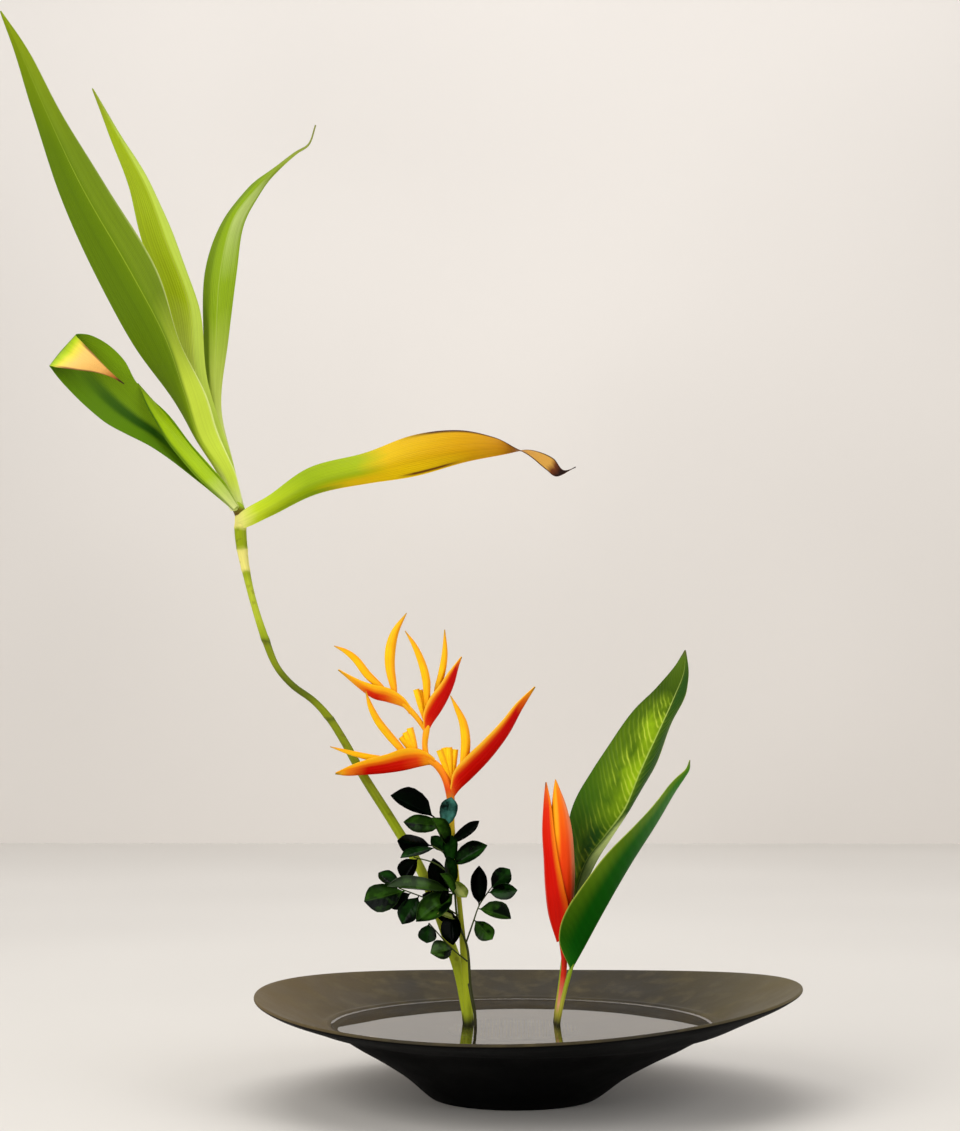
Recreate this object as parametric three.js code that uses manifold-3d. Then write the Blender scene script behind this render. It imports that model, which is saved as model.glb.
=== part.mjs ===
// Ikebana arrangement: a wide stoneware bowl of water, a needle holder on its floor, and the
// cut stems that stand on the needles. Millimetres, +Z up, origin at the middle of the bowl's
// foot, +X to the right and -Y towards the front.
import * as THREE from "three";
import { mergeVertices } from "three/addons/utils/BufferGeometryUtils.js";
import Module from "manifold-3d";

const wasm = await Module();
wasm.setup();

// ---------------------------------------------------------------- driving dimensions

const GAP = 0.35; // left between pieces that touch

const BOWL = {
  footRadius: 60,
  rimRadius: 197.5, // of the rim's outer edge, before it leans
  rimHeight: 72.6, // on average; the rim rises and falls by the waves below
  rimLean: 10, // the rim circle's shift towards +X
  rimWaves: { cos1: 3.2, sin1: 0.8, cos2: 5.4, sin2: -1.7 }, // high at left and right, low in front
  ridgeRadius: 141, // the raised ring where flange and well meet
  ridgeHeight: 53.8,
  floorRadius: 68,
  floorHeight: 16,
  sides: 56,
};
const WATER_LEVEL = 52;
const HOLDER = {
  radius: 48,
  baseHeight: 10,
  needleLength: 15,
  needleRadius: 0.8,
  pitch: 6.4,
  margin: 3.5, // from the outer needles to the edge
};
const HOLDER_TOP = BOWL.floorHeight + GAP + HOLDER.baseHeight;
const NEEDLE_TIPS = HOLDER_TOP + HOLDER.needleLength;
const STEM_FOOT = HOLDER_TOP + 5; // stems are pushed this far down on the needles

const LEAF_THICKNESS = 0.8;
const BRACT_THICKNESS = 1.1;
const LEAFLET_THICKNESS = 0.6;

// ---------------------------------------------------------------- materials

function material(color, roughness, metalness = 0) {
  return new THREE.MeshStandardMaterial({ color, roughness, metalness });
}

const STONEWARE = material(0x35312b, 0.75);
const WATER = new THREE.MeshStandardMaterial({
  color: 0xb5aea0, roughness: 0.05, transparent: true, opacity: 0.35,
});
const LEAD_AND_BRASS = material(0x6e6a5c, 0.5, 0.6);
const CANE = material(0x8a9a1c, 0.55);
const STRAP_GREEN = material(0x7f9a0a, 0.5);
const STRAP_DARK = material(0x3f6a08, 0.5);
const STRAP_YELLOW = material(0xd9a415, 0.55);
const FLOWER_STALK = material(0x7d8c1c, 0.55);
const BRACT_RED = material(0xc8240f, 0.5);
const FLOWER_YELLOW = material(0xf7b915, 0.5);
const BUD_RED = material(0xd8200f, 0.5);
const BUD_ORANGE = material(0xf08a20, 0.5);
const BROAD_LEAF = material(0x1f5a10, 0.45);
const TWIG = material(0x3c3a1a, 0.7);
const GLOSSY_DARK = material(0x0c2a12, 0.25);

// ---------------------------------------------------------------- shape helpers

const point = ([x, y, z]) => new THREE.Vector3(x, y, z);
const curve = (points) => new THREE.CatmullRomCurve3(points.map(point));

// Moves every vertex of a closed geometry and joins the vertices that meet.
function reshape(geometry, place) {
  const positions = geometry.getAttribute("position");
  const vertex = new THREE.Vector3();
  for (let i = 0; i < positions.count; i += 1) {
    vertex.fromBufferAttribute(positions, i);
    positions.setXYZ(i, ...place(vertex).toArray());
  }
  return joined(geometry);
}

function joined(geometry) {
  geometry.deleteAttribute("normal");
  geometry.deleteAttribute("uv");
  return mergeVertices(geometry, 1e-3);
}

// A round stalk through points [x, y, z, radius]: a cylinder bent along their curve.
function stalk(points, sides = 8, stepsPerPoint = 3, grow = 0) {
  const path = curve(points);
  const radii = new THREE.CatmullRomCurve3(points.map((p) => new THREE.Vector3(p[3], 0, 0)));
  const steps = (points.length - 1) * stepsPerPoint;
  const frames = path.computeFrenetFrames(steps, false);
  return reshape(new THREE.CylinderGeometry(1, 1, 1, sides, steps), (v) => {
    const along = v.y + 0.5;
    const step = Math.round(along * steps);
    const t = path.getUtoTmapping(along);
    const radius = radii.getPoint(t).x + grow;
    return path.getPoint(t)
      .addScaledVector(frames.normals[step], radius * v.x)
      .addScaledVector(frames.binormals[step], -radius * v.z);
  });
}

// A thin blade through stations [left edge, midrib, right edge]: a plate bent to their curves.
function blade(stations, thickness, across = 4, stepsPerStation = 2) {
  const [left, rib, right] = [0, 1, 2].map((k) => curve(stations.map((s) => s[k])));
  const surface = (u, t) => {
    const [a, m, b] = [left.getPoint(t), rib.getPoint(t), right.getPoint(t)];
    const arch = a.clone().add(b).multiplyScalar(0.5).sub(m).multiplyScalar(Math.abs(u) ** 1.6);
    return m.addScaledVector(b.sub(a), u / 2).add(arch);
  };
  const normal = (u, t) => {
    const d = 0.01;
    const t0 = Math.max(t - d, 0);
    const t1 = Math.min(t + d, 1);
    const along = surface(u, t1).sub(surface(u, t0));
    const over = surface(u + d, t).sub(surface(u - d, t));
    return along.cross(over).normalize();
  };
  const steps = (stations.length - 1) * stepsPerStation;
  return reshape(new THREE.BoxGeometry(2, 1, 1, across, 1, steps), (v) => {
    const t = v.z + 0.5;
    const thick = thickness * (1 - 0.5 * Math.abs(v.x));
    return surface(v.x, t).addScaledVector(normal(v.x, t), thick * v.y);
  });
}

function solid(geometry) {
  const plain = joined(geometry.clone());
  return new wasm.Manifold(new wasm.Mesh({
    numProp: 3,
    vertProperties: plain.getAttribute("position").array,
    triVerts: new Uint32Array(plain.index.array),
  }));
}

function geometryOf(body) {
  const mesh = body.getMesh();
  const geometry = new THREE.BufferGeometry();
  geometry.setAttribute("position", new THREE.BufferAttribute(mesh.vertProperties, 3));
  geometry.setIndex(new THREE.BufferAttribute(mesh.triVerts, 1));
  return geometry;
}

function united(geometries) {
  return geometryOf(geometries.map(solid).reduce((all, one) => all.add(one)));
}

function turned(profile, sides) {
  const outline = profile.map(([r, z]) => new THREE.Vector2(r, z));
  return joined(new THREE.LatheGeometry(outline, sides)).rotateX(Math.PI / 2);
}

const arrangement = new THREE.Group();

function add(name, geometry, look) {
  const mesh = new THREE.Mesh(geometry, look);
  mesh.name = name;
  arrangement.add(mesh);
}

// ---------------------------------------------------------------- bowl and water

// The wall leans towards +X from the foot up, and the flange is thrown unevenly: its rim waves.
function leanedWall(v) {
  const { footRadius, ridgeRadius, rimRadius, rimLean, rimWaves } = BOWL;
  const reach = Math.hypot(v.x, v.y);
  const angle = Math.atan2(v.y, v.x);
  const lean = rimLean * Math.max(0, (reach - footRadius) / (rimRadius - footRadius));
  const wave = rimWaves.cos1 * Math.cos(angle) + rimWaves.sin1 * Math.sin(angle)
    + rimWaves.cos2 * Math.cos(2 * angle) + rimWaves.sin2 * Math.sin(2 * angle);
  const flangeShare = Math.max(0, (reach - ridgeRadius) / (rimRadius - ridgeRadius));
  return new THREE.Vector3(v.x + lean, v.y, v.z + wave * flangeShare);
}

function bowlGeometry() {
  const { footRadius, rimRadius, rimHeight, ridgeRadius, ridgeHeight, floorRadius, floorHeight } = BOWL;
  const outside = [
    [0, 0], [footRadius, 0], [80, 15.5], [100, 28], [118, 37.8], [135, 47],
    [150, 51.2], [165, 56.6], [180, 62.2], [rimRadius - 1.5, rimHeight - 3], [rimRadius, rimHeight - 1.2],
  ];
  const inside = [
    [rimRadius - 0.7, rimHeight], [rimRadius - 3.5, rimHeight - 0.8], [182, 67.2], [165, 60.9], [152, 56],
    [ridgeRadius + 4, ridgeHeight - 0.3], [ridgeRadius, ridgeHeight], [ridgeRadius - 2.5, ridgeHeight - 1.2],
    [floorRadius, floorHeight], [0, floorHeight],
  ];
  return reshape(turned([...outside, ...inside], BOWL.sides), leanedWall);
}

// The radius of the well's wall at a height, measured to the wall itself.
function wellRadius(z) {
  const share = (z - BOWL.floorHeight) / (BOWL.ridgeHeight - 1.2 - BOWL.floorHeight);
  return BOWL.floorRadius + share * (BOWL.ridgeRadius - 2.5 - BOWL.floorRadius);
}

// The water fills the well round the holder and round each stem that stands in it.
function waterGeometry(standing) {
  const bottom = BOWL.floorHeight + GAP;
  const profile = [
    [0, bottom], [wellRadius(bottom) - 2 * GAP, bottom],
    [wellRadius(WATER_LEVEL) - 2 * GAP, WATER_LEVEL], [0, WATER_LEVEL],
  ];
  const body = solid(reshape(turned(profile, BOWL.sides), leanedWall));
  const room = solid(turned([
    [0, 0], [HOLDER.radius + GAP, 0], [HOLDER.radius + GAP, NEEDLE_TIPS + GAP], [0, NEEDLE_TIPS + GAP],
  ], 32));
  return geometryOf(standing.reduce((left, stem) => left.subtract(solid(stem)), body.subtract(room)));
}

// ---------------------------------------------------------------- needle holder

function needlePlaces() {
  const places = [];
  const reach = HOLDER.radius - HOLDER.margin;
  const rows = Math.floor(reach / HOLDER.pitch);
  for (let row = -rows; row <= rows; row += 1) {
    for (let column = -rows; column <= rows; column += 1) {
      const x = column * HOLDER.pitch;
      const y = row * HOLDER.pitch;
      if (Math.hypot(x, y) <= reach) places.push([x, y]);
    }
  }
  return places;
}

function needle([x, y], radius, length) {
  const cone = new THREE.ConeGeometry(radius, length + 1, 5);
  return cone.rotateX(Math.PI / 2).translate(x, y, HOLDER_TOP - 1 + (length + 1) / 2);
}

function holderGeometry() {
  const bottom = BOWL.floorHeight + GAP;
  const base = turned([[0, bottom], [HOLDER.radius, bottom], [HOLDER.radius, HOLDER_TOP], [0, HOLDER_TOP]], 40);
  const needles = needlePlaces().map((p) => solid(needle(p, HOLDER.needleRadius, HOLDER.needleLength)));
  return geometryOf(solid(base).add(wasm.Manifold.union(needles)));
}

// Cuts the needles' holes in the foot of a stem that stands at x, y.
function impaled(geometry, x, y, reach) {
  const near = needlePlaces().filter(([a, b]) => Math.hypot(a - x, b - y) < reach);
  const body = near.reduce(
    (left, p) => left.subtract(solid(needle(p, HOLDER.needleRadius + GAP, HOLDER.needleLength + 1))),
    solid(geometry),
  );
  return geometryOf(body);
}

// ---------------------------------------------------------------- cane with its strap leaves

const CANE_LINE = [
  [-32, 4, STEM_FOOT, 4.2], [-33, 4, 52, 4.2], [-36, 4, 72, 4.2], [-40, 4, 90, 4.1], [-46.5, 4, 109, 4],
  [-67, 4, 161, 3.7], [-87, 4, 195, 3.5], [-110, 4, 231, 3.3], [-124, 3, 256, 2.9], [-135, 2, 273, 3],
  [-146, 1, 285, 2.5], [-162, 0, 297, 2.4], [-173, 0, 310, 2.4], [-181.5, 0, 330, 2.8],
  [-190, 0, 356, 2.5], [-195.5, 0, 378, 2.9], [-198.5, 0, 394, 3.9], [-200, -1, 408, 4.4], [-200.2, -1, 422.6, 3.7],
];

// Each station is [left edge, midrib, right edge], from the node to the tip.
const STRAP_LEAVES = {
  strap_leaf_long: [
    [[-203.5, -3.2, 423.6], [-200, -4, 423.3], [-197, -3.2, 423.6]],
    [[-215, -4, 447.5], [-212, -7, 449.5], [-203.5, -3, 452]],
    [[-234, -8, 479], [-229.5, -11, 477], [-216.5, -5, 481.5]],
    [[-251, -13, 508.5], [-239.5, -18, 508.5], [-225, -9, 508]],
    [[-277.5, -22, 545.5], [-252, -27, 547], [-243.5, -16, 547.5]],
    [[-302.5, -30, 592.5], [-277, -35, 595.5], [-260, -26, 599]],
    [[-329, -40, 654], [-311, -45, 655], [-294.5, -37, 657]],
    [[-345.5, -50, 707.5], [-336, -54, 709], [-325, -49, 706.5]],
    [[-357, -58, 748], [-353, -60, 749], [-347.5, -58, 750.5]],
    [[-366.8, -66, 777], [-366.3, -66, 777.5], [-365.8, -66, 777.5]],
  ],
  strap_leaf_middle: [
    [[-202, -0.6, 423.6], [-200, -1.4, 423.4], [-197.5, -0.6, 423.6]],
    [[-216, 1, 460], [-212, -1, 461], [-206, 1, 459]],
    [[-242.5, 5, 518.5], [-233, 1, 519], [-225.5, 5, 520.5]],
    [[-259.5, 10, 578.5], [-240.5, 5, 578], [-233.5, 10, 577.5]],
    [[-276.5, 15, 626], [-258, 9, 625], [-251.5, 15, 626]],
    [[-287, 19, 667], [-274, 14, 667], [-269.5, 19, 668]],
    [[-304, 24, 711], [-298.5, 22, 711.5], [-294, 24, 708]],
    [[-317.5, 28, 745.5], [-317, 28, 746], [-316.5, 28, 745.5]],
  ],
  strap_leaf_curled: [
    [[-201.5, 2.4, 423.6], [-199, 1.4, 423.4], [-197, 2.4, 423.7]],
    [[-214, 6, 462.5], [-210.5, 4, 462.5], [-206.5, 6, 460.5]],
    [[-224.5, 11, 501.5], [-220, 7, 501], [-216.5, 11, 501.5]],
    [[-230.5, 18, 553], [-220.5, 12, 553], [-212, 18, 553]],
    [[-231, 27, 606], [-218.5, 20, 605.5], [-207.5, 26, 605]],
    [[-217, 35, 649.5], [-210, 29, 647], [-202.5, 35, 644]],
    [[-201, 39, 671.5], [-196, 36, 669], [-192.5, 40, 667]],
    [[-184, 43, 686.5], [-182, 42, 685], [-180.5, 43, 683.5]],
    [[-165.5, 46, 701.5], [-165, 46, 700.5], [-164.5, 46, 699.5]],
    [[-156, 47, 707.8], [-155.5, 47, 707.2], [-155, 47, 706.6]],
    [[-150.8, 48, 722.5], [-150.3, 48, 722.5], [-149.8, 48, 722]],
  ],
  strap_leaf_folded: [
    [[-202.5, -6.6, 422.6], [-201.5, -5.4, 423.2], [-199.5, -6.6, 424]],
    [[-227, -16, 445.5], [-225.5, -12, 451], [-220, -15, 459.5]],
    [[-253, -25, 464.5], [-249, -19, 473], [-243, -22, 485.5]],
    [[-280.5, -33, 479], [-273.5, -26, 494], [-263.5, -29, 508]],
    [[-302.5, -41, 494], [-296.5, -32, 511.5], [-282, -36, 532.5]],
    [[-320, -47, 510], [-312.5, -36, 528], [-297.5, -41, 544.5]],
    [[-332.5, -51, 523.5], [-324, -41, 537.5], [-312.5, -46, 547.5]],
    [[-328.5, -57, 521.5], [-319, -52, 533], [-307.5, -53, 542]],
    [[-303.5, -60, 519.5], [-301, -58, 525.5], [-296, -57, 529.5]],
    [[-277, -57, 509.5], [-276.5, -57, 510], [-276.5, -57, 510.5]],
  ],
  strap_leaf_yellowing: [
    [[-195.5, -1, 420], [-194.5, -3, 417], [-195, -1, 413]],
    [[-179.5, -4, 433.5], [-177.5, -7, 426.5], [-175.5, -3, 422]],
    [[-148, -9, 453], [-145, -13, 443], [-143.5, -8, 434.5]],
    [[-109, -15, 464.5], [-106.5, -20, 453], [-105, -13, 442]],
    [[-74, -21, 473.5], [-71, -26, 461.5], [-71, -18, 449]],
    [[-39.5, -27, 479], [-35.5, -30, 469], [-35.5, -24, 457.5]],
    [[-10, -31, 471.5], [-10, -33, 467], [-10, -30, 463.5]],
    [[3, -36.5, 465.5], [3, -33, 465.5], [3, -29.5, 466]],
    [[18, -36, 456], [18.5, -33, 459.5], [19.5, -31, 462.8]],
    [[27.5, -38, 449.5], [28.5, -36, 452.8], [30, -35, 456.5]],
    [[34.5, -38, 447.2], [35, -37.6, 448.2], [35.5, -37, 449.2]],
    [[44, -36, 453], [44, -36, 452.5], [44, -36, 452]],
  ],
};
const STRAP_LOOKS = {
  strap_leaf_folded: STRAP_DARK,
  strap_leaf_yellowing: STRAP_YELLOW,
};

function addCane() {
  const [x, y] = CANE_LINE[0];
  add("cane", impaled(stalk(CANE_LINE, 8, 2), x, y, 12), CANE);
  for (const [name, stations] of Object.entries(STRAP_LEAVES)) {
    add(name, blade(stations, LEAF_THICKNESS), STRAP_LOOKS[name] ?? STRAP_GREEN);
  }
}

// ---------------------------------------------------------------- flower spray

const FLOWER_STEM_LINE = [
  [-32, -5, STEM_FOOT, 3], [-33, -5, 52, 3], [-34, -5, 75, 2.9], [-36.5, -5, 106, 2.5], [-38.5, -5, 130, 1.9],
  [-41.5, -5, 160, 1.9], [-45, -5, 195, 2.2], [-46, -5, 216, 3], [-50, -5, 230, 2.6], [-56, -5, 238.5, 2.4],
  [-62.5, -5, 243.5, 2.1], [-64.5, -5, 252, 1.8], [-63.5, -5, 263, 2], [-62.4, -5, 269.4, 2],
];
const UPPER_BRANCH_LINE = [[-63.5, -5, 263, 1.4], [-70, -5.5, 272.5, 1.6], [-80.5, -6, 284.3, 1.7]];

// Bracts are folded boats: each station is [near margin, keel, far margin].
const BRACTS = {
  bract_right: [
    [[-43.5, -9.5, 234], [-42.6, -5, 219], [-43.5, -0.5, 234]],
    [[-34.5, -14, 244.5], [-30.5, -6, 229.5], [-34.5, 2, 244.5]],
    [[-24, -15.5, 254.5], [-17.5, -7.5, 243], [-24, 0.5, 254.5]],
    [[-9, -15.5, 270], [-4, -9.5, 261], [-9, -3.5, 270]],
    [[2, -15, 283.5], [6, -11.5, 279.5], [2, -8, 283.5]],
    [[15, -14.4, 295.5], [15.5, -14, 295.3], [15, -13.6, 295.5]],
  ],
  bract_left: [
    [[-68.5, -8, 249], [-63.5, -5, 240.2], [-68.5, -2, 249]],
    [[-80, -13, 250.5], [-80, -7, 235], [-80, -1, 250.5]],
    [[-92, -15, 246.5], [-94.5, -9.5, 233], [-92, -4, 246.5]],
    [[-107, -16.5, 242.5], [-109.5, -12, 232], [-107, -7.5, 242.5]],
    [[-118, -16.5, 238.5], [-120, -14, 231.5], [-118, -11.5, 238.5]],
    [[-128.5, -16.4, 233.5], [-128.8, -16, 232.6], [-128.5, -15.6, 233.5]],
  ],
  bract_top_right: [
    [[-64.5, -8.5, 277], [-60.2, -5, 270.2], [-64.5, -1.5, 277]],
    [[-61, -10, 287], [-53, -4.5, 278], [-61, 1, 287]],
    [[-54, -9, 296], [-47.5, -4, 288], [-54, 1, 296]],
    [[-48, -7.5, 305], [-43.3, -3.5, 298.5], [-48, 0.5, 305]],
    [[-42.5, -5, 312], [-40.5, -3, 309.5], [-42.5, -1, 312]],
    [[-38.2, -2.9, 317.4], [-38, -2.5, 317], [-38.2, -2.1, 317.4]],
  ],
  bract_top_left: [
    [[-82, -9, 288.5], [-81.5, -6, 281.8], [-82, -3, 288.5]],
    [[-90, -11, 294], [-91.5, -7, 284.5], [-90, -3, 294]],
    [[-100.5, -12.5, 296.5], [-101.5, -8.5, 287], [-100.5, -4.5, 296.5]],
    [[-110, -12.5, 299.5], [-111.5, -9.5, 294], [-110, -6.5, 299.5]],
    [[-118.5, -12, 303.5], [-119.5, -10.5, 300.8], [-118.5, -9, 303.5]],
    [[-127, -11.9, 308], [-127.3, -11.5, 307.6], [-127, -11.1, 308]],
  ],
};

const LONG_FLOWERS = {
  flower_right: [
    [-39.6, -5.2, 224.6, 1.1], [-37, -6, 236, 2], [-35.3, -7, 247, 2.7], [-35, -7, 258, 2.9], [-37, -7, 270, 2.4],
    [-41.5, -7, 280, 1.6], [-46, -7, 289, 0.4],
  ],
  flower_left: [
    [-77, -8.2, 243.5, 1.4], [-82, -8.6, 250.5, 2], [-91, -10.5, 261, 2.2], [-98.5, -13, 271, 2],
    [-103.5, -15, 281, 1.5], [-107, -16.5, 292, 0.4],
  ],
  flower_left_low: [
    [-84, -6.2, 240.3, 1.3], [-93, -8.2, 242.5, 1.8], [-105, -9.5, 244.5, 1.8], [-118, -10, 247.5, 1.3],
    [-133, -11, 252, 0.4],
  ],
  flower_top_middle: [
    [-61.4, -6.4, 279.5, 1.2], [-62.9, -7.2, 289, 2.1], [-63.5, -8, 300, 2.6], [-66.5, -8, 312, 2.3],
    [-72, -8, 325, 1.4], [-79, -8, 336, 0.4],
  ],
  flower_top_right: [
    [-56, -2.6, 284, 1.4], [-56, -2.4, 292, 2.1], [-52.5, -2.2, 305, 2.4], [-50.3, -2, 319, 2],
    [-50.3, -2, 337, 0.4],
  ],
  flower_top_low: [
    [-91, -7.4, 289.5, 1.3], [-98, -8.6, 296.5, 1.8], [-106, -9.6, 304, 2.2], [-115, -10, 315.5, 1.8],
    [-122, -10, 321, 1.3], [-130.5, -10, 325, 0.4],
  ],
  flower_top_tall: [
    [-86, -5.4, 288.5, 1.3], [-87.5, -5, 296, 2.2], [-90, -5, 310, 3.1], [-89.5, -5, 324, 3.3],
    [-86, -5, 336, 2.4], [-78, -5, 349, 0.4],
  ],
};

// Short young flowers stand as a fan on one foot in the angle of a bract.
const FLOWER_FANS = {
  flower_fan_right: {
    foot: [-47.3, -5, 235.2, 1.6],
    tips: [[-53.5, -6, 249.5, 2.4], [-48, -5, 251, 2.6], [-42.5, -4, 250, 2.4]],
  },
  flower_fan_left: {
    foot: [-71, -4.6, 246.5, 1.5],
    tips: [[-81, -3.6, 260, 2.5], [-75.5, -4, 265.5, 2.7]],
  },
  flower_fan_top: {
    foot: [-64.4, -5, 272.4, 1.2],
    tips: [[-70.5, -5, 293.5, 2.5], [-66, -2.6, 291.5, 2.3]],
  },
};

function fan({ foot, tips }) {
  return united(tips.map((tip) => {
    const middle = tip.map((value, k) => (k < 3 ? (value + foot[k]) / 2 : value));
    return stalk([foot, middle, tip], 6, 2);
  }));
}

function addFlowers() {
  const [x, y] = FLOWER_STEM_LINE[0];
  const stem = united([stalk(FLOWER_STEM_LINE), stalk(UPPER_BRANCH_LINE, 6)]);
  add("flower_stem", impaled(stem, x, y, 12), FLOWER_STALK);
  for (const [name, stations] of Object.entries(BRACTS)) {
    add(name, blade(stations, BRACT_THICKNESS, 6), BRACT_RED);
  }
  for (const [name, line] of Object.entries(LONG_FLOWERS)) add(name, stalk(line, 6, 2), FLOWER_YELLOW);
  for (const [name, shape] of Object.entries(FLOWER_FANS)) add(name, fan(shape), FLOWER_YELLOW);
}

// ---------------------------------------------------------------- flower bud

const BUD_STEM_LINE = [
  [29.5, 1, STEM_FOOT, 1.9], [30.5, 1, 50, 1.9], [33, 1, 65, 1.9], [35.5, 1, 84, 2], [36.5, 1, 96, 2.1],
  [34, 1, 111.2, 2],
];
const BUD_OUTER_BRACT = [
  [[34, -2, 113], [31.5, 1, 111.5], [34, 4, 113]],
  [[38.5, -6.8, 134], [25.5, 1, 130], [38, 8.5, 134]],
  [[36.5, -7.8, 151], [23, 1, 150], [36, 9.8, 151]],
  [[34, -7.8, 171], [22, 1, 171], [34, 9.8, 171]],
  [[31, -6, 191], [21, 1, 191], [30, 8, 191]],
  [[27.5, -3, 211], [22, 1, 211], [27, 5, 211]],
  [[23.8, 0.6, 226], [23.4, 1, 226], [23.8, 1.4, 226]],
];
const BUD_CORE_LINE = [
  [34.5, 1, 113, 1.2], [35, 1, 124, 4.2], [35, 1, 140, 7.6], [35, 1, 158, 8.2], [34.5, 1, 175, 8],
  [33.2, 1, 192, 7], [31.5, 1, 209, 4.6], [30.4, 1, 221, 2], [30.2, 1, 228, 0.4],
];
const BUD_FLATNESS = 0.72; // depth of the bud's core over its width

function budCore() {
  const [, middle] = BUD_CORE_LINE[0];
  const round = stalk(BUD_CORE_LINE, 10, 2);
  return reshape(round, (v) => new THREE.Vector3(v.x, middle + (v.y - middle) * BUD_FLATNESS, v.z));
}

function addBud() {
  const [x, y] = BUD_STEM_LINE[0];
  add("bud_stem", impaled(stalk(BUD_STEM_LINE), x, y, 9), FLOWER_STALK);
  add("bud_outer_bract", blade(BUD_OUTER_BRACT, BRACT_THICKNESS, 8), BUD_RED);
  add("bud_core", budCore(), BUD_ORANGE);
}

// ---------------------------------------------------------------- the two broad leaves

const FRONT_LEAF = {
  petiole: [
    [31.5, -7, STEM_FOOT, 1.4], [32, -7, 52, 1.4], [35.2, -7, 70, 1.5], [40.5, -7, 90, 1.5], [43.2, -6, 97, 0.7],
  ],
  stations: [
    [[40.2, -8.5, 93], [41.2, -6.5, 91], [42.2, -6, 92.5]],
    [[32.5, -14, 113.5], [49, -5, 104.5], [46, 8, 111.5]],
    [[37.5, -21, 135], [64, -4, 131.5], [55, 16, 136.5]],
    [[57, -25, 164], [85, -4, 167.5], [68, 18, 164.5]],
    [[82, -25, 191.5], [103.5, -5, 196.5], [89, 13, 192.5]],
    [[106.5, -20, 218], [117, -6, 219.5], [110.5, 6, 218]],
    [[118.5, -13, 231], [123.5, -8, 229.5], [121.5, -3, 231]],
    [[124.8, -11, 237], [127, -9.5, 235.8], [126, -8, 237]],
    [[127, -10.4, 242.5], [127.3, -10, 242.3], [127.5, -9.6, 242]],
  ],
};
const BACK_LEAF = {
  petiole: [
    [29, 10, STEM_FOOT, 1.5], [30, 10, 52, 1.5], [34, 12, 80, 1.6], [38, 15, 110, 1.6], [44, 19.5, 140, 1.1],
  ],
  stations: [
    [[38.5, 18, 126], [39.8, 16.8, 125.5], [41, 18, 126]],
    [[36.5, 27, 163], [52.5, 21, 166.5], [61, 28, 166]],
    [[43, 31, 205.5], [67, 26, 185.5], [72.5, 36, 185]],
    [[58, 36, 233], [81.5, 30, 204.5], [88, 44, 208]],
    [[71.5, 40, 253], [94, 35, 233], [106, 49, 238.5]],
    [[90.5, 44, 279], [108.5, 40, 263.5], [119.5, 51, 269.5]],
    [[107, 47, 295], [120, 45, 288], [129, 52, 291]],
    [[120.5, 50, 310.5], [127.5, 49, 306.5], [131.5, 52, 303.5]],
    [[128.5, 52, 323], [129, 52, 323.2], [129.5, 52, 322.8]],
  ],
};

function addBroadLeaves() {
  for (const [name, leaf] of [["broad_leaf_front", FRONT_LEAF], ["broad_leaf_back", BACK_LEAF]]) {
    const [x, y] = leaf.petiole[0];
    const whole = united([stalk(leaf.petiole, 6), blade(leaf.stations, LEAF_THICKNESS, 6)]);
    add(name, impaled(whole, x, y, 8), BROAD_LEAF);
  }
}

// ---------------------------------------------------------------- glossy-leaved sprig

const TWIGS = {
  main: [
    [-27.5, -11.5, STEM_FOOT, 1.3], [-28.5, -11.5, 60, 1.3], [-33, -11.5, 80, 1.3], [-35.5, -11.5, 108, 1.2],
    [-39, -11.5, 130, 1.1], [-41, -11.5, 152, 1], [-45, -11.5, 175, 0.9], [-50, -12, 193, 0.8],
    [-57, -14, 201, 0.6],
  ],
  lowLeft: [[-35.5, -11.5, 98, 0.7], [-45, -15, 107, 0.6], [-62, -19, 121, 0.5]],
  middleLeft: [[-39.5, -11.5, 131, 0.7], [-55, -16, 140, 0.6], [-82, -22, 151, 0.5]],
  upperLeft: [[-42, -11.5, 158, 0.7], [-56, -15, 168, 0.6], [-72, -18, 173, 0.5]],
  right: [[-35.7, -11.5, 111, 0.8], [-29, -13, 127, 0.7], [-25, -14, 138, 0.6], [-17, -15, 150, 0.5]],
  cutShoot: [[-33.2, -11.5, 82, 0.9], [-30.5, -15, 72, 0.9], [-28.5, -16, 62, 0.9]],
};

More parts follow.
